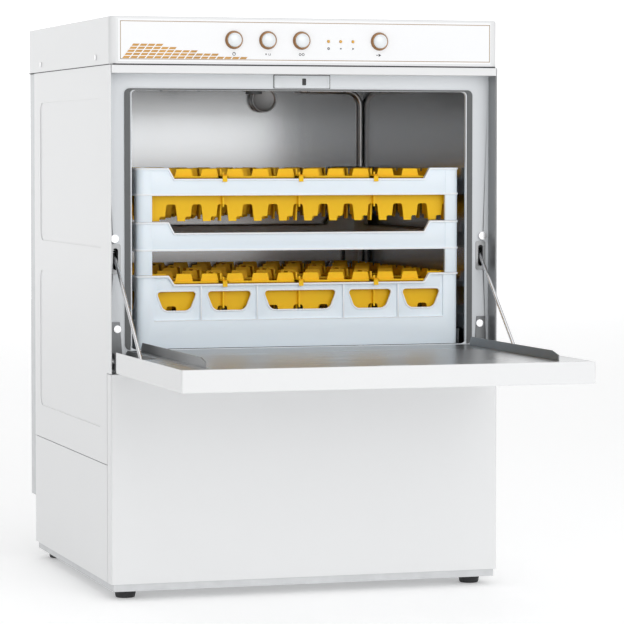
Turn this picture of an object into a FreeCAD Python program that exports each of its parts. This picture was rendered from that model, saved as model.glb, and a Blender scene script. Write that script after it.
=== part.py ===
import FreeCAD, Part
import math
import os
import re

import Sketcher

# Undercounter commercial dishwasher with a drop-down door and a 500 mm glass rack.
# While modelling, X points right, Y points back and Z up, the casing's front is at Y = 0 and
# the feet stand on Z = 0.  Each finished sub-part is then shifted along Y by the same amount,
# so that the origin lies under the middle of the whole machine with its door open.

DIMENSIONS = [
    # casing
    ("width", 600, "overall width"),
    ("cover_depth", 582, "depth of the top cover"),
    ("casing_depth", 535, "depth of the side panels"),
    ("reach_back", 602, "depth from the front to the tip of the rear connectors"),
    ("skin", 1.5, "sheet thickness of the casing"),
    ("base_low", 13, "underside of the base tray"),
    ("panel_low", 24, "lower edge of the lower panels"),
    ("panel_top", 332, "upper edge of the lower front panel"),
    ("side_seam", 198, "seam between the upper and lower side panels"),
    ("strip_low", 772, "lower edge of the strip under the control box"),
    ("seam", 785, "seam under the top cover"),
    ("height", 855, "overall height"),
    ("wrap", 26, "how far the lower front panel wraps round the sides"),
    # door and hinge
    ("door_reach", 398.5, "how far the open door reaches in front of the casing"),
    ("door_width", 595, "width of the door"),
    ("door_thick", 31, "thickness of the door"),
    ("pivot_z", 350.5, "height of the hinge axis"),
    ("pin_radius", 5, "hinge pin radius"),
    ("running", 0.05, "radial running clearance"),
    ("frame_y", 33.5, "face of the recessed front frame"),
    ("rail_height", 13, "height of the guide rails on the door"),
    # stay rods
    ("stay_x", 285, "sideways position of the stay rods"),
    ("stay_reach", 134, "distance of the rod pin in front of the casing"),
    ("stay_slot_z", 500, "height where a rod passes the front frame"),
    ("stay_radius", 2.5, "stay rod radius"),
    ("stay_pin", 3, "stay pin radius"),
    # chamber
    ("half_open", 262, "half the width of the chamber opening"),
    ("open_top", 748, "upper edge of the chamber opening"),
    ("chamber_low", 300, "floor of the chamber"),
    ("chamber_top", 780, "ceiling of the chamber"),
    ("chamber_back", 545, "rear wall of the chamber"),
    ("wall", 1.2, "sheet thickness of the chamber"),
    ("tank_low", 200, "floor of the tank"),
    ("tank_half", 190, "half the width of the tank"),
    ("tank_front", 90, "front wall of the tank"),
    ("tank_back", 490, "rear wall of the tank"),
    ("arm_y", 290, "axis of the spray arms"),
    ("spindle", 10, "spray arm spindle radius"),
    ("arm_reach", 235, "spray arm radius"),
    # rack
    ("rack_half", 250, "half the width of the rack"),
    ("rack_front", 36, "front of the rack when it is pushed in"),
    ("rack_low", 366.5, "underside of the rack"),
    ("rack_wall", 3, "wall thickness of the rack"),
    ("post", 22, "width of the rack's corner posts"),
    ("notch", 46, "length of a raised corner of a rim"),
    ("notch_slope", 9, "run of the slope beside a raised corner"),
    ("base_drop", 95, "lowered rim of the base, above the rack's underside"),
    ("base_rise", 108, "raised corners of the base"),
    ("window_low", 56, "lower edge of the windows"),
    ("window_high", 84, "upper edge of the windows"),
    ("lower_rim", 144, "lower edge of the lower extender's band"),
    ("lower_drop", 171, "lowered rim of the lower extender"),
    ("lower_rise", 187, "raised corners of the lower extender"),
    ("upper_rim", 226, "lower edge of the upper extender's band"),
    ("upper_drop", 251, "lowered rim of the upper extender"),
    ("upper_rise", 267, "raised corners of the upper extender"),
    ("bar_pitch", 49, "pitch of the bars in the rack's floor"),
    ("cell_pitch", 118, "pitch of the glass compartments"),
    # works and rear connections
    ("rear_low", 97, "lower edge of the rear cover"),
    ("inlet_x", 200, "sideways position of the water inlet"),
    ("inlet_z", 150, "height of the water inlet"),
    ("drain_x", -200, "sideways position of the drain outlet"),
    ("drain_z", 122, "height of the drain outlet"),
    ("gland_x", 100, "sideways position of the cable gland"),
    ("gland_z", 130, "height of the cable gland"),
    ("pipe_x", -120, "sideways position of the overflow standpipe"),
    ("pipe_y", 410, "depth of the overflow standpipe"),
    ("boiler_y", 455, "depth of the boiler's axis"),
    ("boiler_z", 122, "height of the boiler's axis"),
    # controls
    ("button_z", 821.6, "height of the buttons"),
    ("button_radius", 10.3, "radius of a button cap"),
    ("bezel_radius", 13.8, "radius of a button bezel"),
]

doc = FreeCAD.newDocument("dishwasher")
sheet = doc.addObject("Spreadsheet::Sheet", "Dims")
for row, (alias, value, note) in enumerate(DIMENSIONS, start=1):
    sheet.set(f"A{row}", note)
    sheet.set(f"B{row}", str(value))
    sheet.setAlias(f"B{row}", alias)
doc.recompute()
ALIASES = [alias for alias, _, _ in DIMENSIONS]
ALIAS_WORDS = re.compile(r"\b(" + "|".join(sorted(ALIASES, key=len, reverse=True)) + r")\b")
SIDES = (("left", -1), ("right", 1))
nodes = []


# ---------------------------------------------------------------- helpers
def size_of(alias):
    return float(getattr(sheet, alias))


def formula(text):
    """Turn the aliases in a formula into references to the sheet."""
    return ALIAS_WORDS.sub(r"Dims.\1", str(text))


def bind(obj, path, text):
    obj.setExpression(path, formula(text))


def place(obj, spot, rotation=None):
    """Put an object at a spot given as three formulas."""
    obj.Placement = FreeCAD.Placement(FreeCAD.Vector(), rotation or FreeCAD.Rotation())
    for axis, text in zip("xyz", spot):
        bind(obj, f"Placement.Base.{axis}", text)
    return obj


def box(x, y, z, name="Box"):
    """A box between the low and high formulas of each axis."""
    obj = doc.addObject("Part::Box", name)
    for prop, (low, high) in zip(("Length", "Width", "Height"), (x, y, z)):
        bind(obj, prop, f"({high}) - ({low})")
    return place(obj, (x[0], y[0], z[0]))


TURNS = {
    "x": FreeCAD.Rotation(FreeCAD.Vector(0, 1, 0), 90),
    "y": FreeCAD.Rotation(FreeCAD.Vector(1, 0, 0), -90),
    "z": FreeCAD.Rotation(),
}


def rod(axis, spot, length, radius, name="Rod"):
    """A cylinder that starts at a spot and runs along +X, +Y or +Z."""
    obj = doc.addObject("Part::Cylinder", name)
    bind(obj, "Radius", radius)
    bind(obj, "Height", length)
    return place(obj, spot, TURNS[axis])


def cone(axis, spot, length, start, end, name="Cone"):
    obj = doc.addObject("Part::Cone", name)
    bind(obj, "Radius1", start)
    bind(obj, "Radius2", end)
    bind(obj, "Height", length)
    return place(obj, spot, TURNS[axis])


def fuse(*parts):
    if len(parts) == 1:
        return parts[0]
    obj = doc.addObject("Part::MultiFuse", "Fuse")
    obj.Shapes = list(parts)
    return obj


def cut(base, *tools):
    obj = doc.addObject("Part::Cut", "Cut")
    obj.Base = base
    obj.Tool = fuse(*tools)
    return obj


def soften(obj, axis, radius):
    """Round every straight edge of an object that runs along one axis."""
    doc.recompute()
    along = FreeCAD.Vector(*[float(axis == letter) for letter in "xyz"])
    picks = []
    for number, edge in enumerate(obj.Shape.Edges, start=1):
        straight = isinstance(edge.Curve, Part.Line)
        if straight and abs(edge.tangentAt(edge.FirstParameter) * along) > 0.999:
            picks.append((number, radius, radius))
    return rounded_edges(obj, picks)


def soften_rim(obj, height, radius):
    """Round every edge of an object that lies flat at one height."""
    doc.recompute()
    level = doc_value(height)
    picks = []
    for number, edge in enumerate(obj.Shape.Edges, start=1):
        span = edge.BoundBox
        if abs(span.ZMin - level) < 0.01 and abs(span.ZMax - level) < 0.01:
            picks.append((number, radius, radius))
    return rounded_edges(obj, picks)


def rounded_edges(obj, picks):
    rounded = doc.addObject("Part::Fillet", "Round")
    rounded.Base = obj
    rounded.Edges = picks
    return rounded


PLANES = {"xy": "XY_Plane", "xz": "XZ_Plane", "yz": "YZ_Plane"}
ACROSS = {"xy": "z", "xz": "y", "yz": "x"}


def pad(plane, corners, low, high, name="Outline"):
    """A body padded from a closed outline of (u, v) formulas, between two formulas across it."""
    body = doc.addObject("PartDesign::Body", name)
    sketch = body.newObject("Sketcher::SketchObject", name + "Sketch")
    origin_plane = [f for f in body.Origin.OriginFeatures if f.Role == PLANES[plane]][0]
    sketch.AttachmentSupport = [(origin_plane, "")]
    sketch.MapMode = "FlatFace"
    spots = [[doc_value(text) for text in corner] for corner in corners]
    vectors = [FreeCAD.Vector(u, v, 0) for u, v in spots]
    count = len(vectors)
    for index in range(count):
        sketch.addGeometry(Part.LineSegment(vectors[index], vectors[(index + 1) % count]))
    for index in range(count):
        sketch.addConstraint(Sketcher.Constraint("Coincident", index, 2, (index + 1) % count, 1))
    for index, (corner, spot) in enumerate(zip(corners, spots)):
        for kind, text, value in zip(("DistanceX", "DistanceY"), corner, spot):
            number = sketch.addConstraint(Sketcher.Constraint(kind, -1, 1, index, 1, value))
            bind(sketch, f"Constraints[{number}]", text)
    solid = body.newObject("PartDesign::Pad", name + "Pad")
    solid.Profile = sketch
    solid.Reversed = plane == "xz"
    bind(solid, "Length", f"({high}) - ({low})")
    bind(body, f"Placement.Base.{ACROSS[plane]}", low)
    return body


def doc_value(text):
    """The number that a formula has now, used to draw an outline before it is bound."""
    known = {alias: size_of(alias) for alias in ALIASES}
    for alias in sorted(ALIASES, key=len, reverse=True):
        text = re.sub(rf"\b{alias}\b", repr(known[alias]), str(text))
    return float(FreeCAD.Units.Quantity(text).Value)


def mirrored(side, inner, outer):
    """Low and high formulas of a span on the left (-1) or the right (+1)."""
    if side > 0:
        return (inner, outer)
    return (f"-({outer})", f"-({inner})")


def across(half):
    return (f"-({half})", f"({half})")


def node(label, *pieces):
    """Close a sub-part: give it its label and put it in the machine's final frame."""
    obj = doc.addObject("Part::Compound", label)
    obj.Label = label
    obj.Links = list(pieces)
    place(obj, ("0", "(door_reach - reach_back) / 2", "0"))
    nodes.append(obj)
    return obj


# ---------------------------------------------------------------- base and casing
def base_and_feet():
    tray = cut(
        box(across("width / 2 - 4"), ("3", "casing_depth - 3"), ("base_low", "62")),
        box(across("width / 2 - 6"), ("5", "casing_depth - 5"), ("base_low + 2", "70")),
    )
    spots = [(f"{side} * (width / 2 - 30)", depth) for _, side in SIDES for depth in ("40", "500")]
    bores = [rod("z", (x, y, "base_low - 5"), "20", "4.1") for x, y in spots]
    posts = []
    for _, side in SIDES:
        long_leg = box(mirrored(side, "274", "294"), ("528", "530"), ("base_low + 1", "seam - 6"))
        short_leg = box(mirrored(side, "292", "294"), ("510", "530"), ("base_low + 1", "seam - 6"))
        posts += [long_leg, short_leg]
    node("base_frame", fuse(cut(tray, *bores), *posts))
    feet = []
    for x, y in spots:
        pad_disc = cone("z", (x, y, "0"), "base_low - 1", "14", "16.5")
        stem = rod("z", (x, y, "5"), "28", "4")
        collar = rod("z", (x, y, "base_low - 2"), "2", "9")
        feet.append(fuse(pad_disc, stem, collar))
    node("levelling_feet", *feet)


def lower_panels():
    outer = box(across("width / 2"), ("0", "wrap"), ("panel_low", "panel_top"))
    inner = box(across("width / 2 - skin"), ("skin", "wrap + 5"), ("panel_low - 1", "panel_top - skin"))
    node("lower_front_panel", cut(soften(outer, "z", 2.5), inner))
    skirts = []
    for _, side in SIDES:
        plate = box(mirrored(side, "width / 2 - skin", "width / 2"),
                    ("wrap + 1", "casing_depth"), ("panel_low", "side_seam - 1"))
        lip = box(mirrored(side, "width / 2 - 4", "width / 2 - skin / 2"),
                  ("wrap + 1", "casing_depth"), ("panel_low", "panel_low + skin"))
        skirts.append(fuse(plate, lip))
    node("side_skirts", *skirts)


def side_panels():
    """Upper side panels, each with two pressed-in rounded fields."""
    fields = (("50", "490", "516", "736"), ("60", "495", "250", "468"))
    for name, side in SIDES:
        plate = box(mirrored(side, "width / 2 - 1.2", "width / 2"), ("0", "casing_depth"),
                    ("side_seam", "seam - 1"))
        hollows = []
        backs = []
        for front, back, low, high in fields:
            hollow = box(mirrored(side, "width / 2 - 1.2", "width / 2 + 1"), (front, back), (low, high))
            hollows.append(soften(hollow, "x", 16))
            backing = box(mirrored(side, "width / 2 - 2.4", "width / 2 - 1.2"),
                          (f"{front} - 4", f"{back} + 4"), (f"{low} - 4", f"{high} + 4"))
            backs.append(soften(backing, "x", 20))
        lower_lip = box(mirrored(side, "width / 2 - 6", "width / 2 - 0.6"),
                        ("wrap + 2", "casing_depth - 8"), ("side_seam", "side_seam + 1.2"))
        corner = box(mirrored(side, "width / 2 - 10", "width / 2 + 5"), ("-5", "wrap + 1"),
                     ("side_seam - 5", "panel_top + 1"))
        node(f"side_panel_{name}", fuse(cut(plate, corner, *hollows), lower_lip, *backs))


def rear_cover():
    shell = cut(
        box(across("width / 2 - 3"), ("casing_depth", "cover_depth"), ("rear_low", "seam - 1")),
        box(across("width / 2 - 3 - skin"), ("casing_depth - 5", "cover_depth - skin"),
            ("rear_low + skin", "seam - 1 - skin")),
    )
    holes = [
        rod("y", ("inlet_x", "cover_depth - 5", "inlet_z"), "20", "13.6"),
        rod("y", ("drain_x", "cover_depth - 5", "drain_z"), "20", "15.6"),
        rod("y", ("gland_x", "cover_depth - 5", "gland_z"), "20", "8.2"),
    ]
    node("rear_cover", cut(shell, *holes))


def top_cover():
    outer = box(across("width / 2"), ("0", "cover_depth"), ("seam", "height"))
    rounded = soften_rim(soften(outer, "z", 11), "height", 2.5)
    inner = box(across("width / 2 - skin"), ("skin", "cover_depth - skin"), ("seam - 5", "height - skin"))
    hollow = soften(inner, "z", 9.5)
    holes = [rod("y", (x, "-5", "button_z"), "15", "bezel_radius - 2.1") for x in BUTTONS.values()]
    holes += [rod("y", (x, "-5", "button_z - 0.8"), "15", "2.4") for x in LED_SPOTS]
    node("top_cover", cut(rounded, hollow, *holes))


# ---------------------------------------------------------------- controls
BUTTONS = {
    "power_button": "-113.3",
    "drain_button": "-61.3",
    "cycle_button": "-9.5",
    "start_button": "111.7",
}
LED_SPOTS = ("32.2", "51.1", "70.3")


def controls():
    sheet_plate = box(across("width / 2 - 12"), ("-0.4", "0"), ("seam + 4", "height - 4"))
    holes = [rod("y", (x, "-5", "button_z"), "15", "bezel_radius - 2.1") for x in BUTTONS.values()]
    holes += [rod("y", (x, "-5", "button_z - 0.8"), "15", "2.4") for x in LED_SPOTS]
    node("fascia_label", cut(sheet_plate, *holes))
    bezels = []
    for x in BUTTONS.values():
        flange = cone("y", (x, "-4.4", "button_z"), "4", "bezel_radius - 1.6", "bezel_radius")
        barrel = rod("y", (x, "-1", "button_z"), "8", "bezel_radius - 2.2")
        bore = rod("y", (x, "-10", "button_z"), "25", "button_radius + 0.25")
        bezels.append(cut(fuse(flange, barrel), bore))
    node("button_bezels", *bezels)
    for name, x in BUTTONS.items():
        cap = rod("y", (x, "-5", "button_z"), "9", "button_radius")
        nose = cone("y", (x, "-6.5", "button_z"), "1.5", "button_radius - 2.5", "button_radius")
        stem = rod("y", (x, "4", "button_z"), "8", "3")
        node(name, fuse(cap, nose, stem))
    lenses = []
    for x in LED_SPOTS:
        lens = rod("y", (x, "-1.2", "button_z - 0.8"), "6", "2.2")
        lenses.append(lens)
    node("led_lenses", *lenses)
    board = box(("-150", "150"), ("18", "19.6"), ("800", "846"))
    switches = [box((f"{x} - 6", f"{x} + 6"), ("14.9", "18.4"), ("button_z - 6", "button_z + 6"))
                for x in BUTTONS.values()]
    relays = [box((f"{x}", f"{x} + 22"), ("19", "36"), ("806", "830")) for x in (-130, -96, -62, 20, 60)]
    brackets = [box((f"{x} - 5", f"{x} + 5"), ("skin", "18.4"), ("846", "848")) for x in (-140, 140)]
    node("control_board", fuse(board, *switches, *relays, *brackets))


# ---------------------------------------------------------------- recessed front frame
def front_frame():
    face = ("frame_y", "frame_y + skin")
    sheet_plate = box(across("width / 2 - 2"), face, ("chamber_low - 5", "strip_low + 8"))
    opening = soften(box(across("half_open"), ("frame_y - 5", "frame_y + 10"), ("366", "open_top")), "y", 9)
    slots = [soften(box(mirrored(side, "stay_x - 4", "stay_x + 4"), ("frame_y - 5", "frame_y + 10"),
                        ("stay_slot_z - 16", "stay_slot_z + 16")), "y", 3.9) for _, side in SIDES]
    node("front_frame", cut(sheet_plate, opening, *slots))
    front = box(across("width / 2 - 2"), ("0", "skin"), ("strip_low", "seam - 1"))
    under = box(across("width / 2 - 2"), ("skin / 2", "frame_y"), ("strip_low", "strip_low + skin"))
    node("header_strip", fuse(front, under))
    ring = soften(box(across("half_open + 9"), ("31.5", "frame_y"), ("366", "open_top + 2.5")), "y", 8)
    hole = soften(box(across("half_open + 1"), ("30", "frame_y + 1"), ("350", "open_top + 0.2")), "y", 6)
    node("door_seal", cut(ring, hole))
    plate = box(("-42", "44"), ("32.1", "frame_y"), ("open_top + 4", "strip_low - 1"))
    magnet = box(("-1", "8"), ("31.6", "32.4"), ("open_top + 6", "open_top + 18"))
    node("latch_plate", fuse(plate, magnet))


def hinge_brackets():
    """Dark brackets bolted to the front frame, whose ears carry the hinge pins."""
    brackets = []
    pins = []
    for _, side in SIDES:
        face = pad("xz", [(f"{side} * 274", "pivot_z - 40"), (f"{side} * 293", "pivot_z - 40"),
                          (f"{side} * 293", "pivot_z + 57"), (f"{side} * 279", "pivot_z + 57"),
                          (f"{side} * 274", "pivot_z - 10")], "31.4", "frame_y", "BracketFace")
        ear = box(mirrored(side, "290.5", "293"), ("5", "frame_y"), ("pivot_z - 12", "pivot_z + 12"))
        bore = rod("x", (f"{side} * 292 - 10", "door_thick / 2", "pivot_z"), "20", "pin_radius")
        brackets.append(cut(fuse(face, ear), bore))
        start = "267" if side > 0 else "-295"
        pins.append(rod("x", (start, "door_thick / 2", "pivot_z"), "28", "pin_radius"))
    node("hinge_brackets", *brackets)
    node("hinge_pins", *pins)


# ---------------------------------------------------------------- door
def door():
    outer_x = "door_width / 2"
    low = "pivot_z - door_thick / 2"
    high = "pivot_z + door_thick / 2"
    blank = box(across(outer_x), ("-door_reach", "-20"), (low, high))
    pan = soften_rim(soften(blank, "z", 2.5), low, 2)
    hollow_out = box(across(f"{outer_x} - skin"), ("-door_reach + skin", "-10"),
                     (f"{low} + skin", f"{high} + 5"))
    heel = box(across("266"), ("-20.5", "door_thick / 2"), (low, f"{low} + skin"))
    lip = box(across(f"{outer_x} - 1"), ("-door_reach + 1", "-door_reach + 7"), (f"{high} - skin", high))
    barrel = rod("x", ("-266", "door_thick / 2", "pivot_z"), "532", "door_thick / 2")
    hollow = rod("x", ("-270", "door_thick / 2", "pivot_z"), "540", "door_thick / 2 - skin")
    front_half = box(across("280"), ("-10", "door_thick / 2"), ("pivot_z - 30", "pivot_z + 30"))
    roll = cut(barrel, hollow, front_half)
    node("door_outer_panel", fuse(cut(pan, hollow_out), heel, lip, roll))

    top = box(across("272"), ("-door_reach + 8", "door_thick / 2"), (f"{high} - skin", high))
    margins = [box(mirrored(side, "271", f"{outer_x} - skin - 0.2"), ("-door_reach + 8", "-178"),
                   (f"{high} - skin", high)) for _, side in SIDES]
    cheeks = []
    for _, side in SIDES:
        x = mirrored(side, "269.5", "272")
        plate = box(x, ("-door_reach + 20", "door_thick / 2"), (f"{low} + skin + 0.2", high))
        nose = rod("x", (x[0], "door_thick / 2", "pivot_z"), "2.5", "door_thick / 2 - skin - 0.2")
        cheeks += [plate, nose]
    bores = [rod("x", (f"{side} * 270 - 8", "door_thick / 2", "pivot_z"), "16", "pin_radius + running")
             for _, side in SIDES]
    pin_holes = [rod("x", (f"{side} * 271 - 4", "-stay_reach", "pivot_z"), "8", "stay_pin")
                 for _, side in SIDES]
    striker = box(("-20", "26"), ("-door_reach + 9", "-door_reach + 21"),
                  (f"{high} - skin / 2", f"{high} + 0.4"))
    node("door_liner", cut(fuse(top, striker, *margins, *cheeks), *bores, *pin_holes))

    rails = []
    for _, side in SIDES:
        x = mirrored(side, "254", "256")
        outline = [("-5", high), ("-365", high), ("-365", f"{high} + 8"), ("-340", f"{high} + rail_height"),
                   ("-12", f"{high} + rail_height"), ("-5", f"{high} + 5")]
        rails.append(pad("yz", outline, x[0], x[1], "DoorRail"))
    node("door_rails", *rails)

    pins = []
    for _, side in SIDES:
        start = "269.5" if side > 0 else "-296"
        pins.append(rod("x", (start, "-stay_reach", "pivot_z"), "26.5", "stay_pin"))
    node("stay_pins", *pins)


# ---------------------------------------------------------------- stay rods
def stay_rods():
    """Rods that hold the open door; each slides through a slot and compresses a spring."""
    pin = FreeCAD.Vector(0, -size_of("stay_reach"), size_of("pivot_z"))
    slot = FreeCAD.Vector(0, size_of("frame_y"), size_of("stay_slot_z"))
    reach = (slot - pin).Length
    slope = math.degrees(math.atan2(slot.z - pin.z, slot.y - pin.y))
    spring_start = reach + 10
    spring_length = 52
    rod_end = spring_start + spring_length + 10
    tilt = FreeCAD.Rotation(FreeCAD.Vector(1, 0, 0), slope - 90)
    for name, side in SIDES:
        spot = (f"{side} * stay_x", "-stay_reach", "pivot_z")
        shank = doc.addObject("Part::Cylinder", "Shank")
        bind(shank, "Radius", "stay_radius")
        shank.Height = rod_end
        place(shank, spot, tilt)
        eye = rod("x", (f"{side} * stay_x - 3", "-stay_reach", "pivot_z"), "6", "7.5")
        bore = rod("x", (f"{side} * stay_x - 8", "-stay_reach", "pivot_z"), "16", "stay_pin + running")
        nut = doc.addObject("Part::Cylinder", "Nut")
        bind(nut, "Radius", "stay_radius + 4")
        nut.Height = 8
        direction = tilt.multVec(FreeCAD.Vector(0, 0, rod_end - 9))
        place(nut, (spot[0], f"{spot[1]} + {direction.y}", f"{spot[2]} + {direction.z}"), tilt)
        node(f"stay_rod_{name}", cut(fuse(shank, eye, nut), bore))

        coil_radius = size_of("stay_radius") + 2.2
        turns = 9
        helix = Part.makeHelix(spring_length / turns, spring_length, coil_radius)
        start = FreeCAD.Vector(coil_radius, 0, 0)
        profile = Part.Wire(Part.makeCircle(0.9, start, FreeCAD.Vector(0, 1, 0)))
        coil = doc.addObject("Part::Feature", "Coil")
        coil.Shape = Part.Wire(helix).makePipeShell([profile], True, True)
        direction = tilt.multVec(FreeCAD.Vector(0, 0, spring_start))
        place(coil, (spot[0], f"{spot[1]} + {direction.y}", f"{spot[2]} + {direction.z}"), tilt)
        node(f"stay_spring_{name}", coil)


# ---------------------------------------------------------------- wash chamber
HEATER_LEGS = ("200", "240")
RISER_FOOT = ("256", "538")
RISER_TOP = ("150", "525")


def soften_disc(obj, radius):
    """Round the front rim of a short cylinder that faces the front."""
    doc.recompute()
    front = obj.Shape.BoundBox.YMin
    picks = [(number, radius, radius) for number, edge in enumerate(obj.Shape.Edges, start=1)
             if edge.BoundBox.YMax - front < 0.01]
    return rounded_edges(obj, picks)


def chamber():
    outer = box(across("half_open + wall"), ("frame_y + skin", "chamber_back + wall"),
                ("chamber_low - wall", "chamber_top + wall"))
    inner = box(across("half_open"), ("0", "chamber_back"), ("chamber_low", "chamber_top"))
    well = box(across("tank_half"), ("tank_front", "tank_back"), ("chamber_low - 20", "chamber_low + 20"))
    floor_bore = rod("z", (*RISER_FOOT, "chamber_low - 10"), "20", "5.1")
    riser_bore = rod("z", (*RISER_TOP, "chamber_top - 5"), "20", "5.1")
    ceiling_bore = rod("z", ("0", "arm_y", "chamber_top - 5"), "20", "12")
    node("wash_chamber", cut(soften(outer, "y", 8), soften(inner, "y", 7), well, floor_bore, riser_bore,
                             ceiling_bore))
    cap = rod("y", ("86", "chamber_back - 18", "744"), "17.9", "21")
    node("vent_cap", soften_disc(cap, 2))

    tank_outer = box(across("tank_half"), ("tank_front", "tank_back"),
                     ("tank_low - wall", "chamber_low - wall"))
    tank_inner = box(across("tank_half - wall"), ("tank_front + wall", "tank_back - wall"),
                     ("tank_low", "chamber_low + 5"))
    holes = [
        rod("z", ("0", "arm_y", "tank_low - 10"), "20", "16"),
        rod("z", ("pipe_x", "pipe_y", "tank_low - 10"), "20", "13"),
    ]
    holes += [rod("x", ("tank_half - 10", y, "tank_low + 18"), "20", "4.2") for y in HEATER_LEGS]
    node("wash_tank", cut(tank_outer, tank_inner, *holes))

    plate = box(across("tank_half - wall - 1"), ("tank_front + wall + 1", "tank_back - wall - 1"),
                ("chamber_low - 8", "chamber_low - 6.5"))
    centre = rod("z", ("0", "arm_y", "chamber_low - 20"), "40", "43")
    corner = rod("z", ("pipe_x", "pipe_y", "chamber_low - 20"), "40", "16")
    node("tank_filter", cut(plate, centre, corner))
    cup = rod("z", ("0", "arm_y", "tank_low + 14"), "chamber_low - tank_low - 20", "42.5")
    well_hole = rod("z", ("0", "arm_y", "tank_low + 15.2"), "chamber_low", "41.3")
    hub_hole = rod("z", ("0", "arm_y", "tank_low - 5"), "60", "18.5")
    rim = cut(rod("z", ("0", "arm_y", "chamber_low - 6.5"), "1.5", "48"),
              rod("z", ("0", "arm_y", "chamber_low - 20"), "40", "41.3"))
    node("filter_basket", fuse(cut(cup, well_hole, hub_hole), rim))
    pipe = cut(rod("z", ("pipe_x", "pipe_y", "tank_low - 12"), "chamber_low - tank_low + 14", "12.5"),
               rod("z", ("pipe_x", "pipe_y", "tank_low - 20"), "chamber_low - tank_low + 14", "10.5"))
    knob = rod("z", ("pipe_x", "pipe_y", "chamber_low + 1"), "14", "8")
    node("overflow_standpipe", fuse(pipe, knob))

    rails = []
    for _, side in SIDES:
        shelf = box(mirrored(side, "228", "257"), ("52", "chamber_back - 16"), ("364.6", "366.1"))
        guide = box(mirrored(side, "255.5", "257"), ("52", "chamber_back - 16"), ("350", "388"))
        tabs = [box(mirrored(side, "256", "half_open"), (y, f"{y} + 14"), ("352", "362"))
                for y in ("80", "480")]
        rails.append(fuse(shelf, guide, *tabs))
    node("chamber_rails", *rails)


NOZZLES = (-215, -165, -115, -65, 65, 115, 165, 215)
JETS = (-210, -150, -90, 90, 150, 210)


def spray_system():
    # lower column: feed elbow under the tank, spindle and retaining nut
    column = rod("z", ("0", "arm_y", "tank_low - 22"), "chamber_low - tank_low + 39", "15.5")
    shoulder = rod("z", ("0", "arm_y", "chamber_low + 12"), "5", "18")
    spindle = rod("z", ("0", "arm_y", "chamber_low + 10"), "47", "spindle")
    spacer = rod("z", ("0", "arm_y", "chamber_low + 29.4"), "7.6", "14")
    nut = rod("z", ("0", "arm_y", "chamber_low + 46.4"), "8", "15")
    node("lower_arm_hub", fuse(column, shoulder, spindle, spacer, nut))
    # the upper column hangs from the ceiling, with both arms tucked up above the opening
    flange = rod("z", ("0", "arm_y", "chamber_top - 3.8"), "3.8", "18")
    stem = rod("z", ("0", "arm_y", "chamber_top - 2"), "10", "11.8")
    upper_spindle = rod("z", ("0", "arm_y", "chamber_top - 31"), "30", "spindle")
    upper_spacer = rod("z", ("0", "arm_y", "chamber_top - 18.4"), "2", "14")
    upper_nut = rod("z", ("0", "arm_y", "chamber_top - 32"), "4.2", "13")
    node("upper_arm_hub", fuse(flange, stem, upper_spindle, upper_spacer, upper_nut))

    wash_arm("lower_wash_arm", "chamber_low + 17.2", 1)
    rinse_arm("lower_rinse_arm", "chamber_low + 37.2", 1)
    wash_arm("upper_wash_arm", "chamber_top - 16.2", -1)
    rinse_arm("upper_rinse_arm", "chamber_top - 27.6", -1)


def wash_arm(label, low, face):
    """A flat hollow arm with a row of nozzles on the face towards the rack."""
    ring = rod("z", ("0", "arm_y", low), "12", "24")
    blade = box(across("arm_reach"), ("arm_y - 15", "arm_y + 15"), (f"{low} + 1", f"{low} + 11"))
    bore = rod("z", ("0", "arm_y", f"{low} - 5"), "30", "spindle + running")
    start = f"{low} + 10.5" if face > 0 else f"{low}"
    nozzles = [rod("z", (str(x), "arm_y", start), "1.5", "5") for x in NOZZLES]
    node(label, cut(fuse(ring, soften(blade, "z", 14), *nozzles), bore))


def rinse_arm(label, low, face):
    """A slim tube with jets, turning on the same spindle."""
    ring = rod("z", ("0", "arm_y", low), "9", "18")
    tube = rod("x", ("-arm_reach + 5", "arm_y", f"{low} + 4.5"), "2 * arm_reach - 10", "4")
    bore = rod("z", ("0", "arm_y", f"{low} - 5"), "30", "spindle + running")
    start = f"{low} + 8" if face > 0 else f"{low} - 0.6"
    jets = [rod("z", (str(x), "arm_y", start), "1.6", "2.5") for x in JETS]
    node(label, cut(fuse(ring, tube, *jets), bore))


def riser():
    """The tube that feeds the upper arms: up the rear wall and along above the ceiling."""
    radius = 5
    foot_x, foot_y = (float(text) for text in RISER_FOOT)
    top_x, top_y = (float(text) for text in RISER_TOP)
    low = size_of("chamber_low") - 14
    bend = size_of("chamber_top") - 23
    over = size_of("chamber_top") + 16
    hub_y = size_of("arm_y")
    hub_top = size_of("chamber_top") + 8.1
    spots = [FreeCAD.Vector(*p) for p in (
        (foot_x, foot_y, low), (foot_x, foot_y, bend), (top_x, top_y, bend),
        (top_x, top_y, over), (0, hub_y, over), (0, hub_y, hub_top))]
    pieces = []
    for start, end in zip(spots, spots[1:]):
        run = end - start
        pieces.append(Part.makeCylinder(radius, run.Length, start, run))
    for corner in spots[1:-1]:
        pieces.append(Part.makeSphere(radius, corner))
    shape = pieces[0].multiFuse(pieces[1:]).removeSplitter()
    tube = doc.addObject("Part::Feature", "RiserTube")
    tube.Shape = shape
    node("riser_tube", tube)


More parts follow.
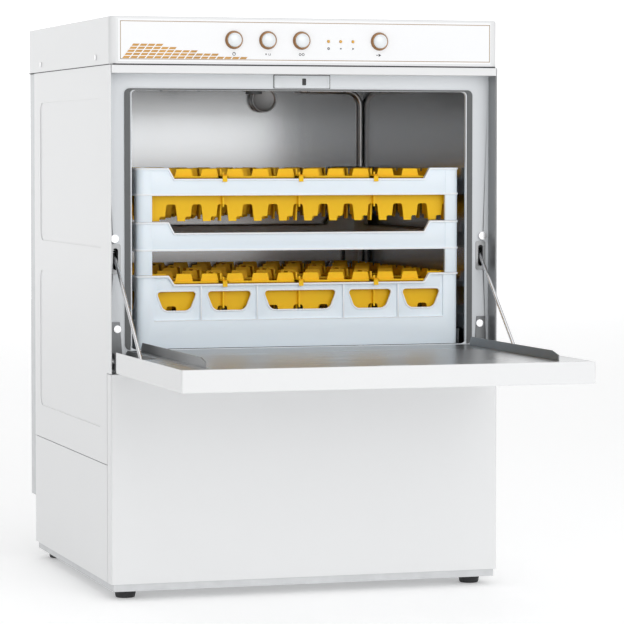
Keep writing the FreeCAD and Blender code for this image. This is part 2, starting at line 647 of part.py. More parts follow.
# ---------------------------------------------------------------- works under the tank
def machinery():
    volute = rod("z", ("0", "arm_y", "120"), "48", "52")
    inlet = rod("z", ("0", "arm_y", "167"), "tank_low - 22 - 167", "15.5")
    node("wash_pump", fuse(volute, inlet))
    motor_z = rod("z", ("0", "arm_y", "64"), "56", "44")
    feet = box(across("60"), ("arm_y - 50", "arm_y + 50"), ("15", "22"))
    posts = [rod("z", (f"{x}", f"arm_y + {y}", "21"), "44", "5") for x in (-30, 30) for y in (-25, 25)]
    node("pump_motor", fuse(motor_z, feet, *posts))

    body = rod("x", ("-180", "boiler_y", "boiler_z"), "320", "55")
    saddles = [box((f"{x}", f"{x} + 20"), ("boiler_y - 40", "boiler_y + 40"), ("15", "80"))
               for x in (-140, 80)]
    node("boiler", cut(fuse(body, *saddles), rod("x", ("-176", "boiler_y", "boiler_z"), "312", "53")))
    head = rod("x", ("140", "boiler_y", "boiler_z"), "12", "36")
    terminals = [rod("x", ("150", f"boiler_y + {y}", f"boiler_z + {z}"), "18", "4")
                 for y, z in ((0, 18), (16, -10), (-16, -10))]
    node("boiler_element", fuse(head, *terminals))
    legs = [rod("x", ("90", y, "tank_low + 18"), "112", "4") for y in HEATER_LEGS]
    bend = doc.addObject("Part::Torus", "HeaterBend")
    bend.Radius1 = 20
    bend.Radius2 = 4
    place(bend, ("90", "220", "tank_low + 18"))
    half = cut(bend, box(("90", "130"), ("180", "260"), ("tank_low", "tank_low + 40")))
    flange = box(("tank_half + 0.1", "tank_half + 5"), ("190", "250"), ("tank_low + 4", "tank_low + 32"))
    node("tank_heater", fuse(half, flange, *legs))

    pumps = []
    for x in (140, 205):
        case = box((f"{x}", f"{x} + 50"), ("60", "95"), ("90", "145"))
        head_disc = rod("y", (f"{x} + 25", "45", "118"), "16", "20")
        foot = box((f"{x} + 5", f"{x} + 45"), ("70", "90"), ("15", "91"))
        pumps.append(fuse(case, head_disc, foot))
    node("dosing_pumps", *pumps)
    tail = "reach_back - cover_depth - 0.5"
    nipple_neck = rod("y", ("inlet_x", "530", "inlet_z"), "cover_depth + 1 - 530", "12.6")
    nipple_end = rod("y", ("inlet_x", "cover_depth + 0.5", "inlet_z"), tail, "13.2")
    nipple_bore = rod("y", ("inlet_x", "548", "inlet_z"), "reach_back - 548 + 1", "9")
    valve = box(("inlet_x - 18", "inlet_x + 18"), ("502", "540"), ("inlet_z - 18", "inlet_z + 34"))
    coil = rod("z", ("inlet_x", "520", "inlet_z + 33"), "30", "14")
    node("inlet_valve", fuse(cut(fuse(nipple_neck, nipple_end), nipple_bore), valve, coil))
    outlet_neck = rod("y", ("drain_x", "510", "drain_z"), "cover_depth + 1 - 510", "14.4")
    outlet_end = rod("y", ("drain_x", "cover_depth + 0.5", "drain_z"), tail, "15")
    outlet_bore = rod("y", ("drain_x", "520", "drain_z"), "reach_back - 520 + 1", "12.5")
    elbow = box(("drain_x - 20", "drain_x + 16"), ("495", "530"), ("drain_z - 18", "drain_z + 20"))
    node("drain_outlet", fuse(cut(fuse(outlet_neck, outlet_end), outlet_bore), elbow))
    gland_shank = rod("y", ("gland_x", "cover_depth - 8", "gland_z"), "14", "8")
    gland_collar = rod("y", ("gland_x", "cover_depth", "gland_z"), "6", "12")
    gland_nut = cone("y", ("gland_x", "cover_depth + 6", "gland_z"), "12", "11", "8.5")
    gland_bore = rod("y", ("gland_x", "cover_depth - 10", "gland_z"), "40", "5.2")
    gland = cut(fuse(gland_shank, gland_collar, gland_nut), gland_bore)
    node("cable_gland", gland)


# ---------------------------------------------------------------- rack
RACK_BACK = "rack_front + 2 * rack_half"
RACK_MIDDLE = "rack_front + rack_half"
BASE_WINDOWS = ((0, 57), (110, 35), (191, 31))


def dip(plane, middle, drop_to, top, low, high):
    """The wedge that lowers the middle of two opposite rims between the raised corners."""
    long_half = "rack_half - notch"
    short_half = "rack_half - notch - notch_slope"
    outline = [(f"{middle} - ({long_half})", f"{top} + 1"), (f"{middle} - ({short_half})", drop_to),
               (f"{middle} + {short_half}", drop_to), (f"{middle} + {long_half}", f"{top} + 1")]
    return pad(plane, outline, low, high, "Dip")


def window(plane, middle, half, low, high):
    """The prism of one window, narrower at its lower edge."""
    foot = half - 11
    z_low = "rack_low + window_low"
    z_high = "rack_low + window_high"
    outline = [(f"{middle} - {foot}", z_low), (f"{middle} + {foot}", z_low),
               (f"{middle} + {half}", z_high), (f"{middle} - {half}", z_high)]
    return pad(plane, outline, low, high, "Window")


def rack_frame(low, drop_to, top, windows=()):
    """One square frame of the rack with raised corners and, on the base, windows in its walls."""
    outer = soften(box(across("rack_half"), ("rack_front", RACK_BACK), (low, top)), "z", 10)
    inner = box(across("rack_half - rack_wall"), ("rack_front + rack_wall", f"{RACK_BACK} - rack_wall"),
                (f"{low} - 5", f"{top} + 5"))
    through_y = ("rack_front - 5", f"{RACK_BACK} + 5")
    through_x = ("-rack_half - 5", "rack_half + 5")
    tools = [inner]
    tools.append(dip("xz", "0", drop_to, top, *through_y))
    tools.append(dip("yz", RACK_MIDDLE, drop_to, top, *through_x))
    for centre, half in windows:
        for middle in sorted({centre, -centre}):
            tools.append(window("xz", str(middle), half, *through_y))
            tools.append(window("yz", f"{RACK_MIDDLE} + {middle}", half, *through_x))
    return cut(outer, *tools)


def rack():
    base_top = "rack_low + base_rise"
    node("rack_base", rack_frame("rack_low", "rack_low + base_drop", base_top, BASE_WINDOWS))
    bars = []
    for step in range(-4, 5):
        offset = f"{step} * bar_pitch"
        middle = f"{RACK_MIDDLE} + {offset}"
        bars.append(box((f"{offset} - 2", f"{offset} + 2"), ("rack_front + 3", f"{RACK_BACK} - 3"),
                        ("rack_low + 12", "rack_low + 20")))
        bars.append(box(across("rack_half - 3"), (f"{middle} - 2", f"{middle} + 2"),
                        ("rack_low + 14", "rack_low + 20")))
    node("rack_floor", fuse(*bars))
    # two extender frames, each on corner posts that stand on the rim below
    below = base_top
    for name in ("lower", "upper"):
        rim = f"rack_low + {name}_rim"
        top = f"rack_low + {name}_rise"
        band = rack_frame(rim, f"rack_low + {name}_drop", top)
        node(f"rack_extender_{name}", fuse(band, *corner_posts(below, f"{rim} + 1")))
        below = top
    insert("lower_insert", "rack_low + 40", "rack_low + 100", "rack_low + 125")
    insert("upper_insert", "rack_low + 192", "rack_low + 254", "rack_low + 265")


def corner_posts(low, high):
    """Four angle-shaped posts that carry an extender frame."""
    posts = []
    for _, side in SIDES:
        x = mirrored(side, "rack_half - post", "rack_half")
        core_x = mirrored(side, "rack_half - post - 5", "rack_half - rack_wall")
        front_span = ("rack_front", "rack_front + post")
        front_core = ("rack_front + rack_wall", "rack_front + post + 5")
        back_span = (f"{RACK_BACK} - post", RACK_BACK)
        back_core = (f"{RACK_BACK} - post - 5", f"{RACK_BACK} - rack_wall")
        for span, core_span in ((front_span, front_core), (back_span, back_core)):
            column = soften(box(x, span, (low, high)), "z", 6)
            core = box(core_x, core_span, (f"{low} - 1", f"{high} + 1"))
            posts.append(cut(column, core))
    return posts


def insert(label, low, middle, top):
    """A four by four grid that keeps the glasses apart, with a knob on every crossing."""
    half_inside = "rack_half - rack_wall - 1"
    front = "rack_front + rack_wall + 1"
    back = f"{RACK_BACK} - rack_wall - 1"
    parts = []
    for row in (-1, 0, 1):
        x = f"{row} * cell_pitch"
        y = f"{RACK_MIDDLE} + {row} * cell_pitch"
        parts.append(box((f"{x} - 1.5", f"{x} + 1.5"), (front, back), (low, middle)))
        parts.append(box(across(half_inside), (f"{y} - 1.5", f"{y} + 1.5"), (low, middle)))
        for column in (-1, 0, 1):
            x = f"{column} * cell_pitch"
            parts.append(box((f"{x} - 9", f"{x} + 9"), (f"{y} - 9", f"{y} + 9"), (middle, f"{middle} + 3")))
            parts.append(box((f"{x} - 2", f"{x} + 2"), (f"{y} - 2", f"{y} + 2"), (low, top)))
    node(label, fuse(*parts))


# ---------------------------------------------------------------- fasteners
def fasteners():
    screws = []
    for _, side in SIDES:
        screws.append(rod("y", (f"{side} * 287", "28", "530"), "5.5", "6"))
        screws.append(rod("y", (f"{side} * 283", "29", "397"), "2.4", "5.5"))
        screws.append(rod("y", (f"{side} * 284", "29", "322"), "2.4", "4.5"))
        for z in ("130", "440", "740"):
            screws.append(rod("y", (f"{side} * 285", "cover_depth", z), "2.2", "4"))
        for y in ("90", "480"):
            inner = "width / 2" if side > 0 else "-width / 2 - 1.6"
            screws.append(rod("x", (inner, y, "seam + 12"), "1.6", "4"))
    node("casing_screws", *screws)


def build():
    base_and_feet()
    lower_panels()
    side_panels()
    rear_cover()
    top_cover()
    controls()
    front_frame()
    hinge_brackets()
    door()
    stay_rods()
    chamber()
    spray_system()
    riser()
    machinery()
    rack()
    fasteners()
    doc.recompute()


def check():
    """Stop if any object failed or any sub-part has no sound solid."""
    broken = [obj.Label for obj in doc.Objects if {"Invalid", "Error"} & set(obj.State)]
    for obj in nodes:
        if obj.Shape.isNull() or not obj.Shape.isValid() or not obj.Shape.Solids:
            broken.append(obj.Label)
    if broken:
        raise SystemExit(f"these objects failed: {broken}")


def write():
    os.makedirs("parts", exist_ok=True)
    for obj in nodes:
        obj.Shape.exportStep(f"parts/{obj.Label}.step")
        print(f"{obj.Label}: {len(obj.Shape.Solids)} solid(s), {obj.Shape.Volume / 1000:.1f} cm3")
    print(f"{len(nodes)} sub-parts")


build()
check()
write()
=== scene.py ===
# %% [markdown]
# # A commercial dishwasher, dressed for the camera
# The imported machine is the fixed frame: every panel, joint and connector already has its real
# size and place.  This lesson gives each of them a finish, and models the pieces whose looks
# need more than a plain solid: the rack, the inserts, the buttons, the printed fascia, the feet.

# %% Load the frame
import math

import bpy
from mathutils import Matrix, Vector


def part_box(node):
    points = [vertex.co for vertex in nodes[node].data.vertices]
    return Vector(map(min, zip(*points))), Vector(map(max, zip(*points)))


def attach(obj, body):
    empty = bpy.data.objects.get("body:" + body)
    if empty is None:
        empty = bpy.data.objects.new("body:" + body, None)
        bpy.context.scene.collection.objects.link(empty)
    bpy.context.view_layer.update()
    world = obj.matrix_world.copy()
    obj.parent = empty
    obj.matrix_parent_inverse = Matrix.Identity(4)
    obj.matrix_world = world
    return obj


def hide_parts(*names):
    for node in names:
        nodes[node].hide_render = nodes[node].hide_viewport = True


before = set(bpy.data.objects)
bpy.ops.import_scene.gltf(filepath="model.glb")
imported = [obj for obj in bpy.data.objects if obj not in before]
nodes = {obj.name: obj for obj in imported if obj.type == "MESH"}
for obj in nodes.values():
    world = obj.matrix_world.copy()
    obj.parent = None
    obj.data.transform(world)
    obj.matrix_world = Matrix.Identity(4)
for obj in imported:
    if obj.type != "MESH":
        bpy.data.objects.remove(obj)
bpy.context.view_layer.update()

# %% [markdown]
# ## Reading the machine's own measures
# A maker works from the drawing.  Many pieces below take their place from a CAD node's box, so if
# the drawing changes, they follow; the others are placed by given numbers.

# %% Measures taken from the frame
cover_low, cover_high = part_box("top_cover")
front_y = cover_low.y
half_width = cover_high.x
cover_bottom, machine_top = cover_low.z, cover_high.z
frame_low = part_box("front_frame")[0]
chamber_low, chamber_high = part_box("wash_chamber")
rack_low, rack_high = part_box("rack_base")
upper_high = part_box("rack_extender_upper")[1]
middle_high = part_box("rack_extender_lower")[1]
rack_centre = (rack_low + rack_high) / 2
RACK_HALF = (rack_high.x - rack_low.x) / 2
print("casing front at y =", round(front_y, 4), "top at", round(machine_top, 4))
print("rack", [round(v, 4) for v in (*rack_low, *rack_high)])

# %% [markdown]
# ## Small helpers
# An operator works on whatever is selected, so each helper starts by clearing the selection.
# Shapes start as a primitive at its true size, are shaped in edit mode, and end with their
# place stored in the mesh, as the CAD nodes do.

# %% Helpers for selecting and finishing


def clear_selection():
    if bpy.context.object and bpy.context.object.mode != "OBJECT":
        bpy.ops.object.mode_set(mode="OBJECT")
    bpy.ops.object.select_all(action="DESELECT")


def take(obj):
    """Make one object the selected and active one."""
    clear_selection()
    obj.select_set(True)
    bpy.context.view_layer.objects.active = obj
    return obj


def settle(obj):
    """Store an object's place, turn and size in its mesh."""
    take(obj)
    bpy.ops.object.transform_apply(location=True, rotation=True, scale=True)
    return obj


def block(name, low, high):
    """A box between two corners, to be shaped further."""
    low, high = Vector(low), Vector(high)
    clear_selection()
    bpy.ops.mesh.primitive_cube_add(size=1, location=(low + high) / 2)
    obj = bpy.context.object
    obj.name = name
    obj.dimensions = high - low
    return settle(obj)


def drum(name, centre, radius, depth, axis="Z", sides=48):
    """A cylinder about one axis, to be shaped further."""
    turn = {"X": (0, math.pi / 2, 0), "Y": (math.pi / 2, 0, 0), "Z": (0, 0, 0)}[axis]
    clear_selection()
    bpy.ops.mesh.primitive_cylinder_add(
        vertices=sides, radius=radius, depth=depth, location=centre, rotation=turn)
    obj = bpy.context.object
    obj.name = name
    return settle(obj)


def pipe(name, spots, radius):
    """A round pipe that follows a line of points: one vertex drawn out, then given its bore."""
    spots = [Vector(spot) for spot in spots]
    clear_selection()
    bpy.ops.mesh.primitive_plane_add(size=0.001, location=spots[0])
    obj = settle(bpy.context.object)
    obj.name = name
    bpy.ops.object.mode_set(mode="EDIT")
    bpy.ops.mesh.select_mode(type="VERT")
    bpy.ops.mesh.select_all(action="SELECT")
    bpy.ops.mesh.merge(type="CENTER")
    for here, there in zip(spots, spots[1:]):
        bpy.ops.mesh.extrude_region_move(TRANSFORM_OT_translate={"value": there - here})
    leave()
    take(obj)
    bpy.ops.object.convert(target="CURVE")
    obj = bpy.context.object
    obj.data.bevel_depth = radius
    obj.data.bevel_resolution = 6
    obj.data.use_fill_caps = True
    bpy.ops.object.convert(target="MESH")
    return bpy.context.object


def edit(obj, kind="EDGE"):
    """Enter edit mode with nothing selected."""
    take(obj)
    bpy.ops.object.mode_set(mode="EDIT")
    bpy.ops.mesh.select_mode(type=kind)
    bpy.ops.mesh.select_all(action="DESELECT")
    bpy.ops.object.mode_set(mode="OBJECT")


def pick_edges(obj, test):
    """Select the edges whose two ends pass a test, and enter edit mode."""
    edit(obj, "EDGE")
    count = 0
    for edge in obj.data.edges:
        a, b = (obj.data.vertices[i].co for i in edge.vertices)
        edge.select = bool(test(a, b))
        count += edge.select
    bpy.ops.object.mode_set(mode="EDIT")
    return count


def pick_faces(obj, test):
    """Select the faces whose centre and normal pass a test, and enter edit mode."""
    edit(obj, "FACE")
    count = 0
    for face in obj.data.polygons:
        face.select = bool(test(face.center, face.normal))
        count += face.select
    bpy.ops.object.mode_set(mode="EDIT")
    return count


def leave():
    bpy.ops.object.mode_set(mode="OBJECT")


def along(axis):
    """A test for edges that run along one axis."""
    index = "XYZ".index(axis)

    def test(a, b):
        step = b - a
        return abs(step[index]) > 0.98 * step.length
    return test


def bevel_edges(obj, test, width, segments=3):
    if pick_edges(obj, test):
        bpy.ops.mesh.bevel(offset=width, segments=segments, profile=0.5)
    leave()
    return obj


def modify(obj, kind, **settings):
    """Add a modifier, set it and apply it."""
    take(obj)
    modifier = obj.modifiers.new(kind.title(), kind)
    for key, value in settings.items():
        setattr(modifier, key, value)
    bpy.ops.object.modifier_apply(modifier=modifier.name)
    return obj


def ease(obj, width, segments, angle):
    """A narrow bevel on every edge that turns by more than an angle in degrees."""
    return modify(obj, "BEVEL", width=width, segments=segments, limit_method="ANGLE",
                  angle_limit=math.radians(angle))


def carve(obj, cutter):
    """Cut one shape out of another and remove the cutter."""
    modify(obj, "BOOLEAN", operation="DIFFERENCE", object=cutter, solver="EXACT")
    bpy.data.objects.remove(cutter)
    return obj


def join(name, pieces):
    clear_selection()
    for piece in pieces:
        piece.select_set(True)
    bpy.context.view_layer.objects.active = pieces[0]
    if len(pieces) > 1:
        bpy.ops.object.join()
    pieces[0].name = name
    return pieces[0]


def copy_to(obj, name, shift=(0, 0, 0), turn=0.0, pivot=(0, 0, 0)):
    """A copy with its own mesh, turned about an upright axis and then moved."""
    twin = obj.copy()
    twin.data = obj.data.copy()
    twin.name = name
    bpy.context.collection.objects.link(twin)
    take(twin)
    if turn:
        cos, sin = math.cos(turn), math.sin(turn)
        for vertex in twin.data.vertices:
            x, y = vertex.co.x - pivot[0], vertex.co.y - pivot[1]
            vertex.co.x = pivot[0] + x * cos - y * sin
            vertex.co.y = pivot[1] + x * sin + y * cos
    bpy.ops.transform.translate(value=shift)
    return settle(twin)


def smooth(obj, angle=35):
    take(obj)
    bpy.ops.object.shade_smooth_by_angle(angle=math.radians(angle))
    return obj


def paint(obj, material):
    """Give one shape its own material before it is joined to others."""
    obj.data.materials.append(material)
    return obj


def dress(obj, material, body, *replaced):
    """Give a finished piece its material and its body, and name the nodes that it stands for."""
    if not obj.data.materials:
        obj.data.materials.append(material)
    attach(obj, body)
    if replaced:
        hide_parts(*replaced)
    print(obj.name, "faces", len(obj.data.polygons))
    return obj


# %% [markdown]
# ## Shared shader groups
# Two effects come back in many finishes: a fine mottle that breaks up a flat colour, and a
# brushed grain for stainless steel.  Each is one node group with named sockets, built once and
# tuned in every material that uses it.

# %% Shader group helpers


def new_group(name, inputs, outputs):
    group = bpy.data.node_groups.new(name, "ShaderNodeTree")
    for socket, kind, default in inputs:
        made = group.interface.new_socket(socket, in_out="INPUT", socket_type=kind)
        made.default_value = default
    for socket, kind in outputs:
        group.interface.new_socket(socket, in_out="OUTPUT", socket_type=kind)
    return group, group.nodes.new("NodeGroupInput"), group.nodes.new("NodeGroupOutput")


def wire(tree, source, target):
    tree.links.new(source, target)


# %% Mottle: cloudy variation of colour, roughness and height
mottle, start, end = new_group(
    "Mottle",
    [("Color", "NodeSocketColor", (0.8, 0.8, 0.8, 1)), ("Shade", "NodeSocketFloat", 0.05),
     ("Scale", "NodeSocketFloat", 12.0), ("Roughness", "NodeSocketFloat", 0.4),
     ("Spread", "NodeSocketFloat", 0.08), ("Grain Scale", "NodeSocketFloat", 900.0)],
    [("Color", "NodeSocketColor"), ("Roughness", "NodeSocketFloat"), ("Height", "NodeSocketFloat")])
coordinates = mottle.nodes.new("ShaderNodeTexCoord")
cloud = mottle.nodes.new("ShaderNodeTexNoise")
cloud.inputs["Detail"].default_value = 4
grain = mottle.nodes.new("ShaderNodeTexNoise")
grain.inputs["Detail"].default_value = 2
for noise, socket in ((cloud, "Scale"), (grain, "Grain Scale")):
    wire(mottle, coordinates.outputs["Object"], noise.inputs["Vector"])
    wire(mottle, start.outputs[socket], noise.inputs["Scale"])
centred = mottle.nodes.new("ShaderNodeMath")
centred.operation = "SUBTRACT"
centred.inputs[1].default_value = 0.5
wire(mottle, cloud.outputs["Fac"], centred.inputs[0])
shade = mottle.nodes.new("ShaderNodeMath")
shade.operation = "MULTIPLY_ADD"
shade.inputs[2].default_value = 1.0
wire(mottle, centred.outputs[0], shade.inputs[0])
wire(mottle, start.outputs["Shade"], shade.inputs[1])
tint = mottle.nodes.new("ShaderNodeVectorMath")
tint.operation = "SCALE"
wire(mottle, start.outputs["Color"], tint.inputs[0])
wire(mottle, shade.outputs[0], tint.inputs["Scale"])
wire(mottle, tint.outputs[0], end.inputs["Color"])
rough = mottle.nodes.new("ShaderNodeMath")
rough.operation = "MULTIPLY_ADD"
wire(mottle, centred.outputs[0], rough.inputs[0])
wire(mottle, start.outputs["Spread"], rough.inputs[1])
wire(mottle, start.outputs["Roughness"], rough.inputs[2])
wire(mottle, rough.outputs[0], end.inputs["Roughness"])
wire(mottle, grain.outputs["Fac"], end.inputs["Height"])

# %% Brushed: long fine streaks, as a belt leaves them on sheet steel
brushed, start, end = new_group(
    "Brushed",
    [("Color", "NodeSocketColor", (0.6, 0.6, 0.6, 1)), ("Stretch", "NodeSocketVector", (3, 400, 400)),
     ("Contrast", "NodeSocketFloat", 0.12), ("Roughness", "NodeSocketFloat", 0.3),
     ("Spread", "NodeSocketFloat", 0.15)],
    [("Color", "NodeSocketColor"), ("Roughness", "NodeSocketFloat"), ("Height", "NodeSocketFloat")])
coordinates = brushed.nodes.new("ShaderNodeTexCoord")
stretch = brushed.nodes.new("ShaderNodeVectorMath")
stretch.operation = "MULTIPLY"
wire(brushed, coordinates.outputs["Object"], stretch.inputs[0])
wire(brushed, start.outputs["Stretch"], stretch.inputs[1])
streak = brushed.nodes.new("ShaderNodeTexNoise")
streak.inputs["Scale"].default_value = 1.0
streak.inputs["Detail"].default_value = 3
wire(brushed, stretch.outputs[0], streak.inputs["Vector"])
smear = brushed.nodes.new("ShaderNodeTexNoise")
smear.inputs["Scale"].default_value = 7.0
smear.inputs["Detail"].default_value = 3
wire(brushed, coordinates.outputs["Object"], smear.inputs["Vector"])
both = brushed.nodes.new("ShaderNodeMath")
both.operation = "ADD"
wire(brushed, streak.outputs["Fac"], both.inputs[0])
wire(brushed, smear.outputs["Fac"], both.inputs[1])
centred = brushed.nodes.new("ShaderNodeMath")
centred.operation = "SUBTRACT"
centred.inputs[1].default_value = 1.0
wire(brushed, both.outputs[0], centred.inputs[0])
shade = brushed.nodes.new("ShaderNodeMath")
shade.operation = "MULTIPLY_ADD"
shade.inputs[2].default_value = 1.0
wire(brushed, centred.outputs[0], shade.inputs[0])
wire(brushed, start.outputs["Contrast"], shade.inputs[1])
tint = brushed.nodes.new("ShaderNodeVectorMath")
tint.operation = "SCALE"
wire(brushed, start.outputs["Color"], tint.inputs[0])
wire(brushed, shade.outputs[0], tint.inputs["Scale"])
wire(brushed, tint.outputs[0], end.inputs["Color"])
rough = brushed.nodes.new("ShaderNodeMath")
rough.operation = "MULTIPLY_ADD"
wire(brushed, centred.outputs[0], rough.inputs[0])
wire(brushed, start.outputs["Spread"], rough.inputs[1])
wire(brushed, start.outputs["Roughness"], rough.inputs[2])
wire(brushed, rough.outputs[0], end.inputs["Roughness"])
wire(brushed, streak.outputs["Fac"], end.inputs["Height"])

# %% [markdown]
# ## Finishes
# Every finish is a Principled BSDF fed by one of the groups.  Values that are the same all over
# a surface, such as metallic or coat, are set on the shader itself.

# %% Finish helper


def finish(name, group, settings, bump=0.05, distance=0.0004, **principled):
    """A material whose colour, roughness and bump come from a group."""
    material = bpy.data.materials.new(name)
    material.use_nodes = True
    tree = material.node_tree
    shader = tree.nodes["Principled BSDF"]
    effect = tree.nodes.new("ShaderNodeGroup")
    effect.node_tree = group
    for socket, value in settings.items():
        effect.inputs[socket].default_value = value
    relief = tree.nodes.new("ShaderNodeBump")
    relief.inputs["Strength"].default_value = bump
    relief.inputs["Distance"].default_value = distance
    wire(tree, effect.outputs["Color"], shader.inputs["Base Color"])
    wire(tree, effect.outputs["Roughness"], shader.inputs["Roughness"])
    wire(tree, effect.outputs["Height"], relief.inputs["Height"])
    wire(tree, relief.outputs["Normal"], shader.inputs["Normal"])
    for socket, value in principled.items():
        shader.inputs[socket.replace("_", " ")].default_value = value
    return material


def plain(name, color, roughness, shade=0.05, scale=14.0, grain=900.0, bump=0.05, **principled):
    settings = {"Color": (*color, 1), "Roughness": roughness, "Shade": shade, "Scale": scale,
                "Grain Scale": grain, "Spread": min(shade, 0.08)}
    return finish(name, mottle, settings, bump, **principled)


def steel(name, color, roughness, stretch, contrast=0.12, bump=0.04, spread=0.15, **principled):
    settings = {"Color": (*color, 1), "Roughness": roughness, "Stretch": stretch, "Contrast": contrast,
                "Spread": spread}
    return finish(name, brushed, settings, bump, Metallic=1.0, **principled)


# %% The finishes of this machine
white_enamel = plain("white_enamel", (0.80, 0.805, 0.81), 0.34, shade=0.03, scale=5, grain=1400,
                     bump=0.03, Coat_Weight=0.15, Coat_Roughness=0.25)
rear_zinc = plain("rear_zinc", (0.60, 0.61, 0.62), 0.42, shade=0.25, scale=40, grain=300,
                  bump=0.04, Metallic=0.85)
steel_upright = plain("steel_upright", (0.79, 0.815, 0.84), 0.5, shade=0.03, scale=6, grain=900, bump=0.02,
                      Metallic=0.06)
steel_chamber = steel("steel_chamber", (0.50, 0.51, 0.52), 0.22, (150, 150, 1.5), contrast=0.04,
                      bump=0.003, spread=0.05)
tube_steel = steel("tube_steel", (0.86, 0.865, 0.87), 0.34, (40, 40, 40), contrast=0.04, bump=0.01)
vent_steel = steel("vent_steel", (0.46, 0.465, 0.47), 0.40, (60, 60, 60), contrast=0.06, bump=0.01)
steel_door = steel("steel_door", (0.40, 0.405, 0.41), 0.30, (3, 200, 200), contrast=0.08, bump=0.02)
steel_rail = steel("steel_rail", (0.22, 0.225, 0.23), 0.34, (200, 4, 200), contrast=0.15, bump=0.02)
steel_dark = steel("steel_dark", (0.20, 0.205, 0.21), 0.38, (300, 300, 4), contrast=0.3)
bright_rod = steel("bright_rod", (0.78, 0.78, 0.79), 0.18, (200, 40, 40), contrast=0.06, bump=0.01)
# The rack's plastic is paler than its own tint: painted light, making up for the shade that the rack sits in
# inside the chamber.
rack_plastic = plain("rack_plastic", (0.85, 0.93, 1.0), 0.36, shade=0.04, scale=9, grain=1200,
                     bump=0.05, Subsurface_Weight=0.12, Subsurface_Radius=(0.004, 0.005, 0.006))
# A paler copy of the rack's plastic for the lips, window rings, ribs and hems: painted highlight along the
# rims.
rim_highlight_plastic = plain("rim_highlight_plastic", (0.92, 0.95, 0.98), 0.36, shade=0.02, scale=9, grain=1200, bump=0.03,
                    Subsurface_Weight=0.15, Subsurface_Radius=(0.004, 0.005, 0.006))
steel_guide = steel("steel_guide", (0.34, 0.345, 0.35), 0.36, (200, 200, 4), contrast=0.1, bump=0.02)
insert_plastic = plain("insert_plastic", (1.0, 0.585, 0.004), 0.42, shade=0.07, scale=11, grain=1000,
                       bump=0.05, Specular_IOR_Level=0.25, Subsurface_Weight=0.15,
                       Subsurface_Radius=(0.006, 0.003, 0.001))
label_film = plain("label_film", (0.93, 0.935, 0.945), 0.38, shade=0.004, scale=3, grain=1800, bump=0.01)
copper = steel("copper", (0.30, 0.165, 0.08), 0.22, (200, 200, 200), contrast=0.12, bump=0.02)
button_cap = plain("button_cap", (0.84, 0.87, 0.89), 0.22, shade=0.02, scale=60, grain=1500, bump=0.02,
                   Coat_Weight=0.4, Coat_Roughness=0.08)
amber = plain("amber", (0.80, 0.42, 0.05), 0.18, shade=0.08, scale=200, bump=0.01, Coat_Weight=0.5)
gold_ink = plain("gold_ink", (0.34, 0.20, 0.08), 0.4, shade=0.2, scale=60, grain=1500, bump=0.02)
amber_ink = plain("amber_ink", (0.58, 0.29, 0.05), 0.4, shade=0.9, scale=38, grain=1500, bump=0.02)
black_ink = plain("black_ink", (0.03, 0.03, 0.035), 0.4, shade=0.2, scale=80, bump=0.02)
rubber = plain("rubber", (0.025, 0.025, 0.027), 0.62, shade=0.3, scale=60, grain=700, bump=0.15)
seal_rubber = plain("seal_rubber", (0.125, 0.13, 0.132), 0.5, shade=0.2, scale=50, grain=700, bump=0.1)
grey_plastic = plain("grey_plastic", (0.16, 0.175, 0.185), 0.42, shade=0.12, scale=30, bump=0.08)
black_plastic = plain("black_plastic", (0.02, 0.02, 0.022), 0.38, shade=0.25, scale=40, bump=0.08)
motor_paint = plain("motor_paint", (0.11, 0.13, 0.15), 0.45, shade=0.15, scale=30, bump=0.1)
board_green = plain("board_green", (0.02, 0.12, 0.05), 0.4, shade=0.2, scale=120, bump=0.05)

FINISH_OF = {
    white_enamel: ["lower_front_panel", "side_skirts", "side_panel_left", "side_panel_right",
                   "top_cover", "header_strip", "door_outer_panel"],
    rear_zinc: ["base_frame", "rear_cover"],
    steel_upright: ["front_frame", "latch_plate"],
    steel_chamber: ["wash_chamber", "wash_tank", "chamber_rails", "tank_filter", "filter_basket", "boiler"],
    steel_door: ["door_liner"],
    steel_rail: ["door_rails"],
    steel_dark: ["hinge_brackets"],
    bright_rod: ["stay_rod_left", "stay_rod_right", "stay_spring_left", "stay_spring_right", "stay_pins",
                 "hinge_pins", "casing_screws", "tank_heater", "boiler_element", "riser_tube"],
    label_film: ["fascia_label"],
    copper: ["button_bezels"],
    button_cap: ["power_button", "drain_button", "cycle_button", "start_button"],
    amber: ["led_lenses"],
    board_green: ["control_board"],
    rubber: ["levelling_feet"],
    seal_rubber: ["door_seal"],
    grey_plastic: ["overflow_standpipe", "vent_cap", "lower_arm_hub", "upper_arm_hub", "lower_wash_arm",
                   "lower_rinse_arm", "upper_wash_arm", "upper_rinse_arm"],
    black_plastic: ["wash_pump", "dosing_pumps", "inlet_valve", "drain_outlet", "cable_gland"],
    motor_paint: ["pump_motor"],
    rack_plastic: ["rack_base", "rack_floor", "rack_extender_lower", "rack_extender_upper"],
    insert_plastic: ["lower_insert", "upper_insert"],
}
for material, members in FINISH_OF.items():
    for name in members:
        nodes[name].data.materials.clear()
        nodes[name].data.materials.append(material)
missed = sorted(set(nodes) - {name for members in FINISH_OF.values() for name in members})
print("nodes with no finish:", missed)

# %% [markdown]
# ## The rack
# A glass rack is a moulded tray with tall skirts.  Ribs stand between its windows, every rim
# rolls outwards into a small lip, and the rims dip between the corners so that hands can reach
# in.  Each frame is one square shell, cut by wedges that are true to the rims' slopes.

# %% Square shells with dipping rims
RACK_Y = rack_centre.y
CORNER = 0.204
SLOPE = 0.009
LIP = 0.0022
BEYOND = 0.4  # cutters run this far out, well past the rack


def square(half, low, high, radius):
    """A square block round the rack's upright centre line, with rounded corners."""
    obj = block("square", (-half, RACK_Y - half, low), (half, RACK_Y + half, high))
    return bevel_edges(obj, along("Z"), radius, 6)


def shell(name, half, wall, radius, low, high):
    obj = square(half, low, high, radius)
    obj.name = name
    return carve(obj, square(half - wall, low - 0.01, high + 0.01, max(radius - wall, 0.002)))


